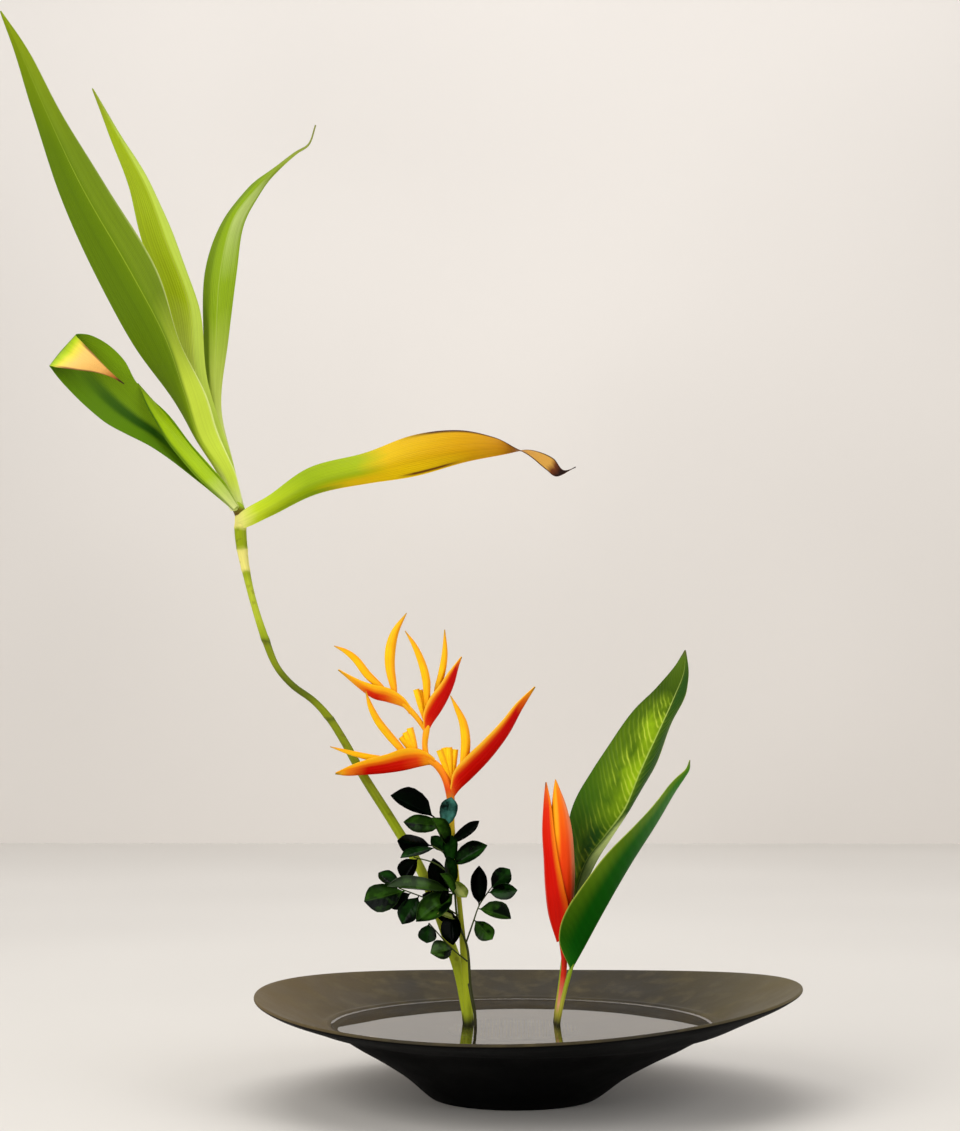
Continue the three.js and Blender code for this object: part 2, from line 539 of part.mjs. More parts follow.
// Leaflets: the twig that bears each one, where along it, its tip, its width and its turn about
// its own length in degrees.
const LEAFLETS = [
  ["main", 1, [-88, -15, 222], 19, 10],
  ["main", 0.87, [-45, -21, 216.5], 12, 15],
  ["main", 0.94, [-77, -25, 201.5], 12, -30],
  ["main", 0.83, [-58, -29, 201.5], 13, 20],
  ["main", 0.7, [-46, -18, 189.5], 11, 20],
  ["main", 0.79, [-25, -8, 198.5], 7, 20],
  ["main", 0.67, [-19, -16, 182.5], 15, 0],
  ["upperLeft", 0.62, [-81.5, -14, 184.5], 14, 10],
  ["upperLeft", 0.66, [-79, -30, 174], 9, 35],
  ["upperLeft", 1, [-85, -20, 160], 14, 10],
  ["middleLeft", 0.38, [-60.5, -9, 171], 16, 0],
  ["main", 0.62, [-47.5, -25, 174], 10, 20],
  ["main", 0.58, [-52, -29, 161.5], 9, 30],
  ["main", 0.63, [-34, -18, 144], 8.5, 0],
  ["middleLeft", 1, [-97, -17, 162.5], 12, 20],
  ["middleLeft", 0.5, [-90, -40, 156], 15, 20],
  ["middleLeft", 0.92, [-106.5, -31, 140.5], 20, -15],
  ["middleLeft", 0.75, [-80.5, -27, 124.5], 16, 0],
  ["middleLeft", 0.62, [-56.5, -31, 125.5], 18, -10],
  ["middleLeft", 0.22, [-51, -23, 154], 9, 20],
  ["main", 0.5, [-49, -28, 131.5], 7.5, 20],
  ["middleLeft", 0.16, [-43, -23, 110], 15, 10],
  ["lowLeft", 0.9, [-70, -23, 112], 13, -10],
  ["lowLeft", 0.52, [-61, -24, 102], 14, 20],
  ["right", 0.66, [-25, -20, 166.5], 11, 0],
  ["right", 1, [-3, -12, 164], 13, 25],
  ["right", 0.93, [2, -24, 149.5], 11, 35],
  ["right", 0.6, [-1.5, -18, 132.5], 14, -10],
  ["right", 0.36, [-15.5, -18, 113.5], 13, 0],
];
const LEAFLET_STALK = 0.16; // share of a leaflet's length that is its thin stalk
const FACING = new THREE.Vector3(0, -0.85, 0.52); // the way the leaflets' faces look

function leaflet([twig, at, tip, width, turn]) {
  const path = curve(TWIGS[twig]);
  const root = path.getPoint(at);
  const end = point(tip);
  const twigRadius = TWIGS[twig][Math.floor(at * (TWIGS[twig].length - 1))][3];
  const aside = end.clone().sub(root).projectOnPlane(path.getTangent(at)).normalize();
  root.addScaledVector(aside, twigRadius + 2 * GAP);
  const along = end.clone().sub(root).normalize();
  const length = root.distanceTo(end);
  const over = along.clone().cross(FACING).normalize().applyAxisAngle(along, THREE.MathUtils.degToRad(turn));
  const out = over.clone().cross(along);
  const halves = [
    [0, 0.5], [LEAFLET_STALK, 0.5], [0.38, 0.42 * width], [0.6, 0.5 * width], [0.82, 0.34 * width], [1, 0.3],
  ];
  const stations = halves.map(([share, half]) => {
    const middle = root.clone().addScaledVector(along, share * length);
    const edge = (side) => middle.clone().addScaledVector(over, side * half).addScaledVector(out, 0.2 * half);
    return [edge(-1), middle, edge(1)].map((p) => p.toArray());
  });
  return blade(stations, LEAFLET_THICKNESS, 2, 1);
}

function addSprig() {
  const [x, y] = TWIGS.main[0];
  const twigs = Object.values(TWIGS).map((line) => stalk(line, 6, 2));
  add("sprig_twigs", impaled(united(twigs), x, y, 8), TWIG);
  LEAFLETS.forEach((one, i) => {
    add(`leaflet_${String(i + 1).padStart(2, "0")}`, leaflet(one), GLOSSY_DARK);
  });
}

// ---------------------------------------------------------------- the whole

function standingStems() {
  const lines = [CANE_LINE, FLOWER_STEM_LINE, BUD_STEM_LINE, FRONT_LEAF.petiole, BACK_LEAF.petiole, TWIGS.main];
  return lines.map((line) => stalk(line.slice(0, 4), 8, 3, GAP));
}

add("bowl", bowlGeometry(), STONEWARE);
add("needle_holder", holderGeometry(), LEAD_AND_BRASS);
add("water", waterGeometry(standingStems()), WATER);
addCane();
addFlowers();
addBud();
addBroadLeaves();
addSprig();

export default arrangement;
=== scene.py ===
import math
from functools import partial
import bpy
import numpy as np
from mathutils import Matrix, Quaternion, Vector


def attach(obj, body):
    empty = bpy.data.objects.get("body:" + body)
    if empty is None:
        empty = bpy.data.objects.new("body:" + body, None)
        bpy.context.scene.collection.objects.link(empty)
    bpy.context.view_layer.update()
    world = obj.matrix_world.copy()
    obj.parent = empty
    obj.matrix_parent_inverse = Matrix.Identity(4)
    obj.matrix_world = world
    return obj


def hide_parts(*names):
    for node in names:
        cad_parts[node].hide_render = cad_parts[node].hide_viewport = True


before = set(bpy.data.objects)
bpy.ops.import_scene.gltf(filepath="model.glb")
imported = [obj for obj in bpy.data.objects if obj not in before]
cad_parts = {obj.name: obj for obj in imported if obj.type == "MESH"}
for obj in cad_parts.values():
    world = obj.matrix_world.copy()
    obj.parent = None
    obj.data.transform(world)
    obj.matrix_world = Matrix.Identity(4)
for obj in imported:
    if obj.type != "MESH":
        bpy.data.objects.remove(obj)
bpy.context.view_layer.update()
mm = 0.001  # the shapes below are in millimetres, like the part's own drawing


# small tools

def deselect():
    if bpy.context.object and bpy.context.object.mode != "OBJECT":
        bpy.ops.object.mode_set(mode="OBJECT")
    bpy.ops.object.select_all(action="DESELECT")


def pick(obj):
    deselect()
    obj.select_set(True)
    bpy.context.view_layer.objects.active = obj


def named(name):
    # the primitive that was just added, with its place put into its mesh
    obj = bpy.context.object
    obj.name = obj.data.name = name
    bpy.ops.object.transform_apply(location=True, rotation=True, scale=True)
    return obj


def smooth(obj, angle=60):
    pick(obj)
    bpy.ops.object.shade_smooth_by_angle(angle=math.radians(angle))


def closeSeams(obj, reach=2e-6):
    pick(obj)
    bpy.ops.object.mode_set(mode="EDIT")
    bpy.ops.mesh.select_all(action="SELECT")
    bpy.ops.mesh.remove_doubles(threshold=reach)
    bpy.ops.mesh.normals_make_consistent(inside=False)
    bpy.ops.object.mode_set(mode="OBJECT")


def thicken(obj, thickness):
    pick(obj)
    bpy.ops.object.modifier_add(type="SOLIDIFY")
    solidify = obj.modifiers[-1]
    solidify.thickness = thickness
    solidify.offset = 0
    bpy.ops.object.modifier_apply(modifier=solidify.name)


def bend(points, t):
    # a smooth curve through the points, eased by their spacing so that it never overshoots
    points = np.asarray(points, float)
    last = len(points) - 1
    i = min(int(t * last), last - 1)
    f = t * last - i
    p1, p2 = points[i], points[i + 1]
    p0 = points[i - 1] if i > 0 else 2 * p1 - p2
    p3 = points[i + 2] if i < last - 1 else 2 * p2 - p1
    gaps = [max(np.linalg.norm(b[:3] - a[:3]), 1e-6) ** 0.5 for a, b in ((p0, p1), (p1, p2), (p2, p3))]
    slopeIn = (p1 - p0) / gaps[0] - (p2 - p0) / (gaps[0] + gaps[1]) + (p2 - p1) / gaps[1]
    slopeOut = (p2 - p1) / gaps[1] - (p3 - p1) / (gaps[1] + gaps[2]) + (p3 - p2) / gaps[2]
    slopeIn, slopeOut = slopeIn * gaps[1], slopeOut * gaps[1]
    return (p1 + slopeIn * f + (3 * (p2 - p1) - 2 * slopeIn - slopeOut) * f ** 2
            + (2 * (p1 - p2) + slopeIn + slopeOut) * f ** 3)


def grid(name, across, along, place):
    # a flat grid added at the origin, then every point is put in place; its UV map stays
    deselect()
    bpy.ops.mesh.primitive_grid_add(x_subdivisions=across, y_subdivisions=along, size=1)
    obj = named(name)
    for v in obj.data.vertices:
        v.co = Vector(place(v.co.x + 0.5, v.co.y + 0.5)) * mm
    obj.data.update()
    return obj


def stalk(name, points, around=16, along=None, flat=1.0):
    # a round stem through [x, y, z, radius]: a grid rolled up along the curve, with closed ends
    along = along or 6 * (len(points) - 1)
    rings = [bend(points, k / along) for k in range(along + 1)]
    places = [Vector(r[:3]) for r in rings]
    side = Vector((0, 1, 0))
    sides = []
    for k in range(along + 1):
        ahead = (places[min(k + 1, along)] - places[max(k - 1, 0)]).normalized()
        side = (side - ahead * side.dot(ahead)).normalized()
        sides.append((side * flat, ahead.cross(side)))
    closing = (1, 0.7, 0)  # shares of the radius: the last ring and the two past it that close the end
    ends = len(closing) - 1

    def place(u, v):
        step = round(v * (along + 2 * ends)) - ends
        k = min(max(step, 0), along)
        past = max(-step, step - along, 0)
        radius = float(rings[k][3]) * closing[past]
        a, b = sides[k]
        turn = 2 * math.pi * u
        return places[k] + (a * math.cos(turn) + b * math.sin(turn)) * radius

    obj = grid(name, around, along + 2 * ends, place)
    closeSeams(obj)
    smooth(obj)
    return obj


def blade(name, stations, thickness, across=16, along=72, crease=1.6, waves=(0, 0)):
    # a leaf or bract through stations of [left edge, midrib, right edge], given its thickness
    left, rib, right = ([s[k] for s in stations] for k in range(3))
    height, count = waves
    outOfStep = 1.9  # radians, between the waves of the two margins

    def surface(u, t):
        a, m, b = bend(left, t), bend(rib, t), bend(right, t)
        return m + (b - a) * u / 2 + ((a + b) / 2 - m) * abs(u) ** crease

    def place(x, t):
        u = 2 * x - 1
        p = surface(u, t)
        if height:  # the margins lift and dip a little
            d = 0.01
            over = surface(min(u + d, 1), t) - surface(u - d, t)
            ahead = surface(u, min(t + d, 1)) - surface(u, max(t - d, 0))
            out = np.cross(over, ahead)
            out /= max(np.linalg.norm(out), 1e-9)
            fade = math.sin(math.pi * t) * abs(u) ** 1.5
            p = p + out * height * fade * math.sin(2 * math.pi * count * t + (0 if u < 0 else outOfStep))
        return p

    obj = grid(name, across, along, place)
    thicken(obj, thickness * mm)
    smooth(obj, 50)
    return obj


def thrown(name, rings, around=192):
    # a turned shape, drawn up ring by ring from its foot as on a wheel; rings are [radius, height]
    deselect()
    (radius, height) = rings[0]
    bpy.ops.mesh.primitive_circle_add(vertices=around, radius=radius * mm, fill_type="NGON",
                                      location=(0, 0, height * mm))
    obj = named(name)
    bpy.ops.object.mode_set(mode="EDIT")
    bpy.ops.mesh.select_all(action="SELECT")
    for (r0, z0), (r1, z1) in zip(rings, rings[1:]):
        bpy.ops.mesh.extrude_region_move(TRANSFORM_OT_translate={"value": (0, 0, (z1 - z0) * mm)})
        bpy.ops.transform.resize(value=(r1 / r0, r1 / r0, 1), center_override=(0, 0, z1 * mm))
    bpy.ops.object.mode_set(mode="OBJECT")
    closeSeams(obj, 1e-7)
    smooth(obj, 40)
    return obj


def eased(profile, steps):
    # the rings of a profile, with points added between so that its turns are round
    return [[float(r), max(float(z), 0)] for r, z in (bend(profile, k / steps) for k in range(steps + 1))]


def join(objects, name):
    pick(objects[0])
    for o in objects[1:]:
        o.select_set(True)
    bpy.ops.object.join()
    obj = bpy.context.object
    obj.name = obj.data.name = name
    return obj


def settle(obj, look, slot, *nodes):
    if look:
        obj.data.materials.clear()
        obj.data.materials.append(look)
    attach(obj, "root")
    if nodes:
        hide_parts(*nodes)
    return obj


# materials

def colour(hexText):
    # sRGB hex to the linear colour that the shader wants
    parts = [int(hexText[i:i + 2], 16) / 255 for i in (1, 3, 5)]
    return [c / 12.92 if c <= 0.04045 else ((c + 0.055) / 1.055) ** 2.4 for c in parts] + [1]


def addNode(tree, kind, *inputs, stops=(), **settings):
    # one node with its settings; its inputs take, in order, a link, a number or an sRGB hex text
    made = tree.nodes.new("ShaderNode" + kind)
    for key, value in settings.items():
        setattr(made, key, value)
    for socket, value in zip([s for s in made.inputs if s.enabled], inputs):
        if isinstance(value, bpy.types.NodeSocket):
            tree.links.new(value, socket)
        elif value is not None:
            socket.default_value = colour(value) if isinstance(value, str) else value
    for k, (place, shade) in enumerate(stops):
        spots = made.color_ramp.elements
        spot = spots[k] if k < len(spots) else spots.new(place)
        spot.position = place
        spot.color = colour(shade) if isinstance(shade, str) else (shade, shade, shade, 1)
    return next(s for s in made.outputs if s.enabled)


def setShader(look, **values):
    # numbers go on the shader's own sockets, links go into them
    shader = look.node_tree.nodes["Principled BSDF"]
    for key, value in values.items():
        socket = shader.inputs[key.replace("_", " ")]
        if isinstance(value, bpy.types.NodeSocket):
            look.node_tree.links.new(value, socket)
        else:
            socket.default_value = value


def startLook(name, **values):
    look = bpy.data.materials.new(name)
    look.use_nodes = True
    setShader(look, **values)
    return look, partial(addNode, look.node_tree)


def widest(stations):
    return max(math.dist(station[0], station[2]) for station in stations)


def paintBlade(node, paint):
    # colours from base to tip, then soft bands laid over them, each one
    # (its middle across, solid and faded half widths, strength from base to tip, colour)
    uv = node("TexCoord").node.outputs["UV"]
    across, along = node("SeparateXYZ", uv).node.outputs[:2]
    clouds = node("TexNoise", node("Mapping", uv, None, None, (3, 7, 1)), 1.0, 3.0)
    drift = node("Math", clouds, 0.5, operation="SUBTRACT")
    place = node("Math", drift, paint.get("wander", 0.08), along, operation="MULTIPLY_ADD")
    line = node("Math", drift, paint.get("waver", 0.02), across, operation="MULTIPLY_ADD")
    base = node("ValToRGB", place, stops=paint["along"])
    for middle, (inner, outer), strengths, shade in paint["bands"]:
        away = node("Math", node("Math", line, middle, operation="SUBTRACT"), operation="ABSOLUTE")
        near = node("MapRange", away, outer, inner, interpolation_type="SMOOTHSTEP")
        share = node("Math", near, node("ValToRGB", place, stops=strengths), operation="MULTIPLY")
        base = node("Mix", share, base, shade, data_type="RGBA")
    return base, uv, across, along, clouds


def strapLeafLook(name, paint, width):
    # living strap leaf, grown with parallel veins under a thin wax: satin, fine lines from base to
    # tip, a pale sheath and paler margins
    look, node = startLook(name, Roughness=0.4, Specular_IOR_Level=0.12)
    base, uv, across, *_ = paintBlade(node, paint)
    veinSpacing = 1.3  # mm; real veins lie closer and wouldn't show
    count = width / veinSpacing
    veins = node("Math", node("Math", across, count * 2 * math.pi, operation="MULTIPLY"), operation="SINE")
    streaks = node("TexNoise", node("Mapping", uv, None, None, (count * 0.8, 2.5, 1)), 1.0, 2.0)
    shade = node("Math", veins, 0.03, 0.82, operation="MULTIPLY_ADD")
    shade = node("Math", streaks, paint.get("streaks", 0.34), shade, operation="MULTIPLY_ADD")
    base = node("Mix", 1.0, base, shade, data_type="RGBA", blend_type="MULTIPLY")
    relief = node("Math", veins, streaks, operation="ADD")
    setShader(look, Base_Color=base, Normal=node("Bump", 0.6, 0.12 * mm, None, relief))
    return look


def broadLeafLook(name, paint):
    # satin leaf of a banana relative: a pale midrib and side veins that curve towards the tip,
    # with light that shines through in strokes between them
    look, node = startLook(name, Roughness=paint["roughness"], Specular_IOR_Level=0.1)
    base, uv, across, along, clouds = paintBlade(node, paint)
    fromRib = node("Math", node("Math", across, 0.5, operation="SUBTRACT"), operation="ABSOLUTE")
    arch = node("Math", node("Math", fromRib, 2.0, operation="MULTIPLY"), 1.5, operation="POWER")
    phase = node("Math", arch, -paint["slant"], along, operation="MULTIPLY_ADD")
    unrest = node("TexNoise", node("Mapping", uv, None, None, (5, 14, 1)), 1.0, 3.0)
    phase = node("Math", unrest, 0.025, phase, operation="MULTIPLY_ADD")
    turns = node("Math", phase, paint["veins"] * 2 * math.pi, operation="MULTIPLY")
    wave = node("Math", turns, operation="SINE")
    crest = node("Math", node("Math", wave, 0.5, 0.5, operation="MULTIPLY_ADD"), 4.0, operation="POWER")
    alongVein = node("Math", phase, paint["veins"] * 0.9, operation="MULTIPLY")
    byVein = node("CombineXYZ", node("Math", across, 5.0, operation="MULTIPLY"), alongVein)
    strokes = node("MapRange", node("TexNoise", byVein, 1.0, 2.0), 0.42, 0.58)
    lit = node("Math", node("ValToRGB", along, stops=paint["litAlong"]),
               node("ValToRGB", across, stops=paint["litAcross"]), operation="MULTIPLY")
    glow = node("Math", lit, node("MapRange", clouds, 0.35, 0.65), operation="MULTIPLY")
    base = node("Mix", node("Math", glow, 0.9, operation="MULTIPLY"), base, paint["glow"], data_type="RGBA")
    share = node("Math", node("Math", crest, strokes, operation="MULTIPLY"), lit, operation="MULTIPLY")
    base = node("Mix", share, base, paint["veinColour"], data_type="RGBA")
    fine = node("Math", wave, 0.04, 0.97, operation="MULTIPLY_ADD")
    base = node("Mix", 1.0, base, fine, data_type="RGBA", blend_type="MULTIPLY")
    setShader(look, Base_Color=base, Normal=node("Bump", 0.5, paint["relief"] * mm, None, wave))
    return look


def bractLook(name, paint):
    # waxy bract: red along the keel, yellow-orange at the margins, smooth with faint long ribs
    look, node = startLook(name, Roughness=0.36, Specular_IOR_Level=0.08)
    base, _, across, _, clouds = paintBlade(node, paint)
    ribs = node("Math", node("Math", across, 26 * math.pi, operation="MULTIPLY"), operation="SINE")
    tone = node("Math", ribs, 0.02, 0.98, operation="MULTIPLY_ADD")
    base = node("Mix", 1.0, base, tone, data_type="RGBA", blend_type="MULTIPLY")
    relief = node("Math", ribs, clouds, operation="ADD")
    setShader(look, Base_Color=base, Normal=node("Bump", 0.5, 0.08 * mm, None, relief))
    return look


def petalLook(name, stops, ribCount=6):
    # waxy golden flower tube: soft sheen, painted shade in the grooves between its lengthwise ribs and on one
    # side
    look, node = startLook(name, Roughness=0.4, Specular_IOR_Level=0.1)
    uv = node("TexCoord").node.outputs["UV"]
    around, along = node("SeparateXYZ", uv).node.outputs[:2]
    clouds = node("TexNoise", node("Mapping", uv, None, None, (3, 5, 1)), 1.0, 3.0)
    ribs = node("Math", node("Math", around, ribCount * 2 * math.pi, operation="MULTIPLY"), operation="SINE")
    base = node("ValToRGB", along, stops=stops)
    blush = node("MapRange", clouds, 0.45, 0.75, 0.0, 0.35)
    base = node("Mix", blush, base, "#f5940c", data_type="RGBA")
    # painted shade: one side of the tube is a deeper orange
    aside = node("Math", node("Math", around, 0.68, operation="SUBTRACT"), operation="ABSOLUTE")
    shadeSide = node("MapRange", aside, 0.22, 0.06, 0.0, 0.5, interpolation_type="SMOOTHSTEP")
    base = node("Mix", shadeSide, base, "#f08408", data_type="RGBA")
    # painted shade in the grooves between the ribs
    grooveShade = node("MapRange", ribs, -1.0, -0.4, 0.22, 0.0)
    base = node("Mix", grooveShade, base, "#d87a08", data_type="RGBA")
    setShader(look, Base_Color=base, Normal=node("Bump", 0.5, 0.12 * mm, None, ribs))
    return look


def stemLook(name, low, high, stops, roughness=0.42, fibres=18, scars=0.0, wander=0.0):
    # fresh stem under a thin skin: colours that change with height, fine fibres along it, a few
    # dry scars
    look, node = startLook(name, Roughness=roughness, Specular_IOR_Level=0.14)
    coords = node("TexCoord").node.outputs
    height = node("SeparateXYZ", coords["Object"]).node.outputs["Z"]
    if wander:  # the edges of the rings run unevenly round the stem
        unrest = node("TexNoise", coords["Object"], 150.0, 0.0)  # 7 mm
        height = node("Math", node("Math", unrest, 0.5, operation="SUBTRACT"), wander * mm, height,
                      operation="MULTIPLY_ADD")
    share = node("MapRange", height, low * mm, high * mm)
    base = node("ValToRGB", share, stops=stops)
    streaks = node("TexNoise", node("Mapping", coords["UV"], None, None, (fibres, 9, 1)), 1.0, 2.0)
    tone = node("Math", streaks, 0.45, 0.78, operation="MULTIPLY_ADD")
    base = node("Mix", 1.0, base, tone, data_type="RGBA", blend_type="MULTIPLY")
    mottle = node("TexNoise", coords["Object"], 180.0, 3.0)  # 6 mm
    spots = node("MapRange", mottle, 0.6, 0.68, 0.0, scars)
    base = node("Mix", spots, base, "#5a4a1c", data_type="RGBA")
    relief = node("Math", streaks, mottle, operation="ADD")
    setShader(look, Base_Color=base, Normal=node("Bump", 0.5, 0.15 * mm, None, relief))
    return look


def leafletLook(name, dark, lit, rib, shine):
    # hard leathery leaflet with a thick wax: blackish green, darker at its margins, a soft gloss, with
    # painted highlights in lighter patches and painted light on one half
    look, node = startLook(name, Roughness=0.22, Specular_IOR_Level=shine)
    uv = node("TexCoord").node.outputs["UV"]
    across, along = node("SeparateXYZ", uv).node.outputs[:2]
    clouds = node("TexNoise", node("TexCoord").node.outputs["Object"], 95.0, 3.0)  # 10 mm
    fromRib = node("Math", node("Math", across, 0.5, operation="SUBTRACT"), operation="ABSOLUTE")
    slanted = node("Math", fromRib, -0.35, along, operation="MULTIPLY_ADD")
    veins = node("Math", node("Math", slanted, 14 * math.pi, operation="MULTIPLY"), operation="SINE")
    turned = node("MapRange", across, 0.42, 0.58, 0.0, 0.35)  # one half faces the light more
    # painted highlights: lighter patches of the lit colour
    patches = node("MapRange", clouds, 0.44, 0.64, 0.0, 0.85)
    share = node("Math", patches, turned, operation="ADD", use_clamp=True)
    base = node("Mix", share, dark, lit, data_type="RGBA")
    rim = node("MapRange", fromRib, 0.26, 0.46, 0.0, 0.75, interpolation_type="SMOOTHSTEP")
    base = node("Mix", rim, base, dark, data_type="RGBA")
    base = node("Mix", node("MapRange", fromRib, 0.0, 0.03, 0.35, 0.0), base, rib, data_type="RGBA")
    base = node("Mix", node("MapRange", fromRib, 0.46, 0.5, 0.0, 0.25), base, rib, data_type="RGBA")
    relief = node("Math", veins, clouds, operation="ADD")
    setShader(look, Base_Color=base, Normal=node("Bump", 0.4, 0.06 * mm, None, relief))
    return look


def stonewareLook():
    # unglazed charcoal stoneware, thrown and rubbed by hand: matt, cloudy and gritty, brown-grey with paler
    # rubbed patches where hands reach it; painted light on the inside's left and right, painted shade
    # that turns the faces that look down nearly black
    look, node = startLook("charcoalStoneware", IOR=1.5)
    coords = node("TexCoord").node.outputs["Object"]
    x = node("SeparateXYZ", coords).node.outputs["X"]
    up = node("SeparateXYZ", node("NewGeometry").node.outputs["True Normal"]).node.outputs["Z"]
    clouds = node("TexNoise", coords, 16.0, 4.0)  # patches about 60 mm wide
    smears = node("TexNoise", coords, 70.0, 4.0)  # 15 mm
    grit = node("TexNoise", coords, 900.0, 2.0)  # 1 mm; real grit is finer and wouldn't show
    inside = node("ValToRGB", clouds, stops=bowl["inner"])
    # painted light: the inside turns lighter towards the left and the right, the back stays darker
    litTowardsLeft = node("MapRange", x, -0.08, -0.18, 0.0, 0.55)
    inside = node("Mix", litTowardsLeft, inside, bowl["innerLitLeft"], data_type="RGBA")
    litTowardsRight = node("MapRange", x, 0.11, 0.2, 0.0, 0.7)
    inside = node("Mix", litTowardsRight, inside, bowl["innerLitRight"], data_type="RGBA")
    # painted shade: the faces that look down take the nearly black outer colour, the clay's own charcoal
    # deepened
    base = node("Mix", node("MapRange", up, -0.1, 0.15), bowl["outer"], inside, data_type="RGBA")
    worn = node("MapRange", smears, 0.5, 0.75, 0.0, 0.3)
    worn = node("Math", worn, node("MapRange", up, 0.0, 0.3), operation="MULTIPLY")
    base = node("Mix", worn, base, bowl["worn"], data_type="RGBA")
    base = node("Mix", 1.0, base, node("MapRange", grit, 0.3, 0.7, 0.8, 1.0), data_type="RGBA",
                blend_type="MULTIPLY")
    relief = node("Math", smears, 2.0, grit, operation="MULTIPLY_ADD")
    sheen = node("MapRange", up, -0.1, 0.15, 0.03, 0.24)
    rough = node("MapRange", clouds, 0.3, 0.7, 0.5, 0.72)
    setShader(look, Base_Color=base, Roughness=rough, Specular_IOR_Level=sheen,
              Normal=node("Bump", 0.5, 0.25 * mm, None, relief))
    return look


def waterLook():
    # still clean water: mirrors the room at a low angle, shows the bowl through it from above
    look, node = startLook("stillWater", Roughness=0.0, IOR=1.333, Transmission_Weight=1.0)
    coords = node("TexCoord").node.outputs["Object"]
    swell = node("TexNoise", coords, 16.0, 1.0)  # 60 mm
    tint = node("ValToRGB", swell, stops=[(0.3, "#b09e78"), (0.7, "#bcaa86")])
    setShader(look, Base_Color=tint, Normal=node("Bump", 0.12, 0.6 * mm, None, swell))
    return look


def metalLook(name, dark, light, metallic, roughness):
    # cast or drawn metal that has stood in water: dull and blotched
    look, node = startLook(name, Metallic=metallic)
    blotches = node("TexNoise", node("TexCoord").node.outputs["Object"], 120.0, 4.0)  # 8 mm
    base = node("ValToRGB", blotches, stops=[(0.35, dark), (0.65, light)])
    rough = node("MapRange", blotches, 0.3, 0.7, roughness, roughness + 0.2)
    setShader(look, Base_Color=base, Roughness=rough, Normal=node("Bump", 0.5, 0.2 * mm, None, blotches))
    return look


# stage, light and camera

stage = {
    "camera": (-2, -1700, 288), "pitch": 3.23, "turn": 0.76, "lens": 74.1, "farthest": 40,
    "floor": ("#d8d4ce", "#dedad4"), "wall": ("#e3ded8", "#e9e4de"), "wallBehind": 2900,
    "sheetSize": 14, "wallMiddle": 3,  # metres
    "air": "#eceae8", "airStrength": 0.46,
    "lights": {  # place, what it points at, size in metres, watts, spread in degrees, colour
        "windowLeft": ((-1500, -1600, 1300), (0, 0, 250), (1.6, 1.6), 18.5, 120, "#fffdfa"),
        "fillRight": ((1700, -1200, 1050), (0, 0, 250), (1.6, 1.6), 10, 120, "#fbfcff"),
        "skylight": ((-200, 0, 2200), (0, 0, 250), (1.8, 1.8), 14, 180, "#fffefc"),
        "wallWash": ((0, 1300, 2500), (0, 2900, 500), (3.5, 0.8), 34, 180, "#fdfdff"),
    },
}


def stageLook(name, shades):
    # matt paper or paint: a very faint unevenness
    look, node = startLook(name, Roughness=0.9)
    clouds = node("TexNoise", node("TexCoord").node.outputs["Object"], 1.3, 1.0)  # 0.8 m
    setShader(look, Base_Color=node("ValToRGB", clouds, stops=[(0.3, shades[0]), (0.7, shades[1])]))
    return look


def makeStage():
    deselect()
    bpy.ops.mesh.primitive_plane_add(size=stage["sheetSize"])
    floor = named("studioFloor")
    floor.data.materials.append(stageLook("studioPaper", stage["floor"]))
    bpy.ops.mesh.primitive_plane_add(size=stage["sheetSize"], rotation=(math.pi / 2, 0, 0),
                                     location=(0, stage["wallBehind"] * mm, stage["wallMiddle"]))
    wall = named("studioWall")
    wall.data.materials.append(stageLook("studioWallPaint", stage["wall"]))
    for name, (place, target, size, watts, spread, shade) in stage["lights"].items():
        deselect()
        bpy.ops.object.light_add(type="AREA", location=[c * mm for c in place])
        lamp = bpy.context.object
        lamp.name = name
        lamp.rotation_euler = (Vector(target) * mm - lamp.location).to_track_quat("-Z", "Y").to_euler()
        lamp.data.shape = "RECTANGLE"
        lamp.data.size, lamp.data.size_y = size
        lamp.data.energy = watts
        lamp.data.spread = math.radians(spread)
        lamp.data.color = colour(shade)[:3]
    world = bpy.data.worlds.new("studioAir")
    world.use_nodes = True
    air = world.node_tree.nodes["Background"].inputs
    air["Color"].default_value = colour(stage["air"])
    air["Strength"].default_value = stage["airStrength"]
    bpy.context.scene.world = world
    bpy.context.scene.view_settings.view_transform = "Standard"
    deselect()
    bpy.ops.object.camera_add(location=[c * mm for c in stage["camera"]],
                              rotation=(math.radians(90 + stage["pitch"]), 0, math.radians(stage["turn"])))
    camera = bpy.context.object
    camera.data.lens = stage["lens"]
    camera.data.clip_end = stage["farthest"]
    bpy.context.scene.camera = camera
    print("stage set")


# bowl, water and needle holder

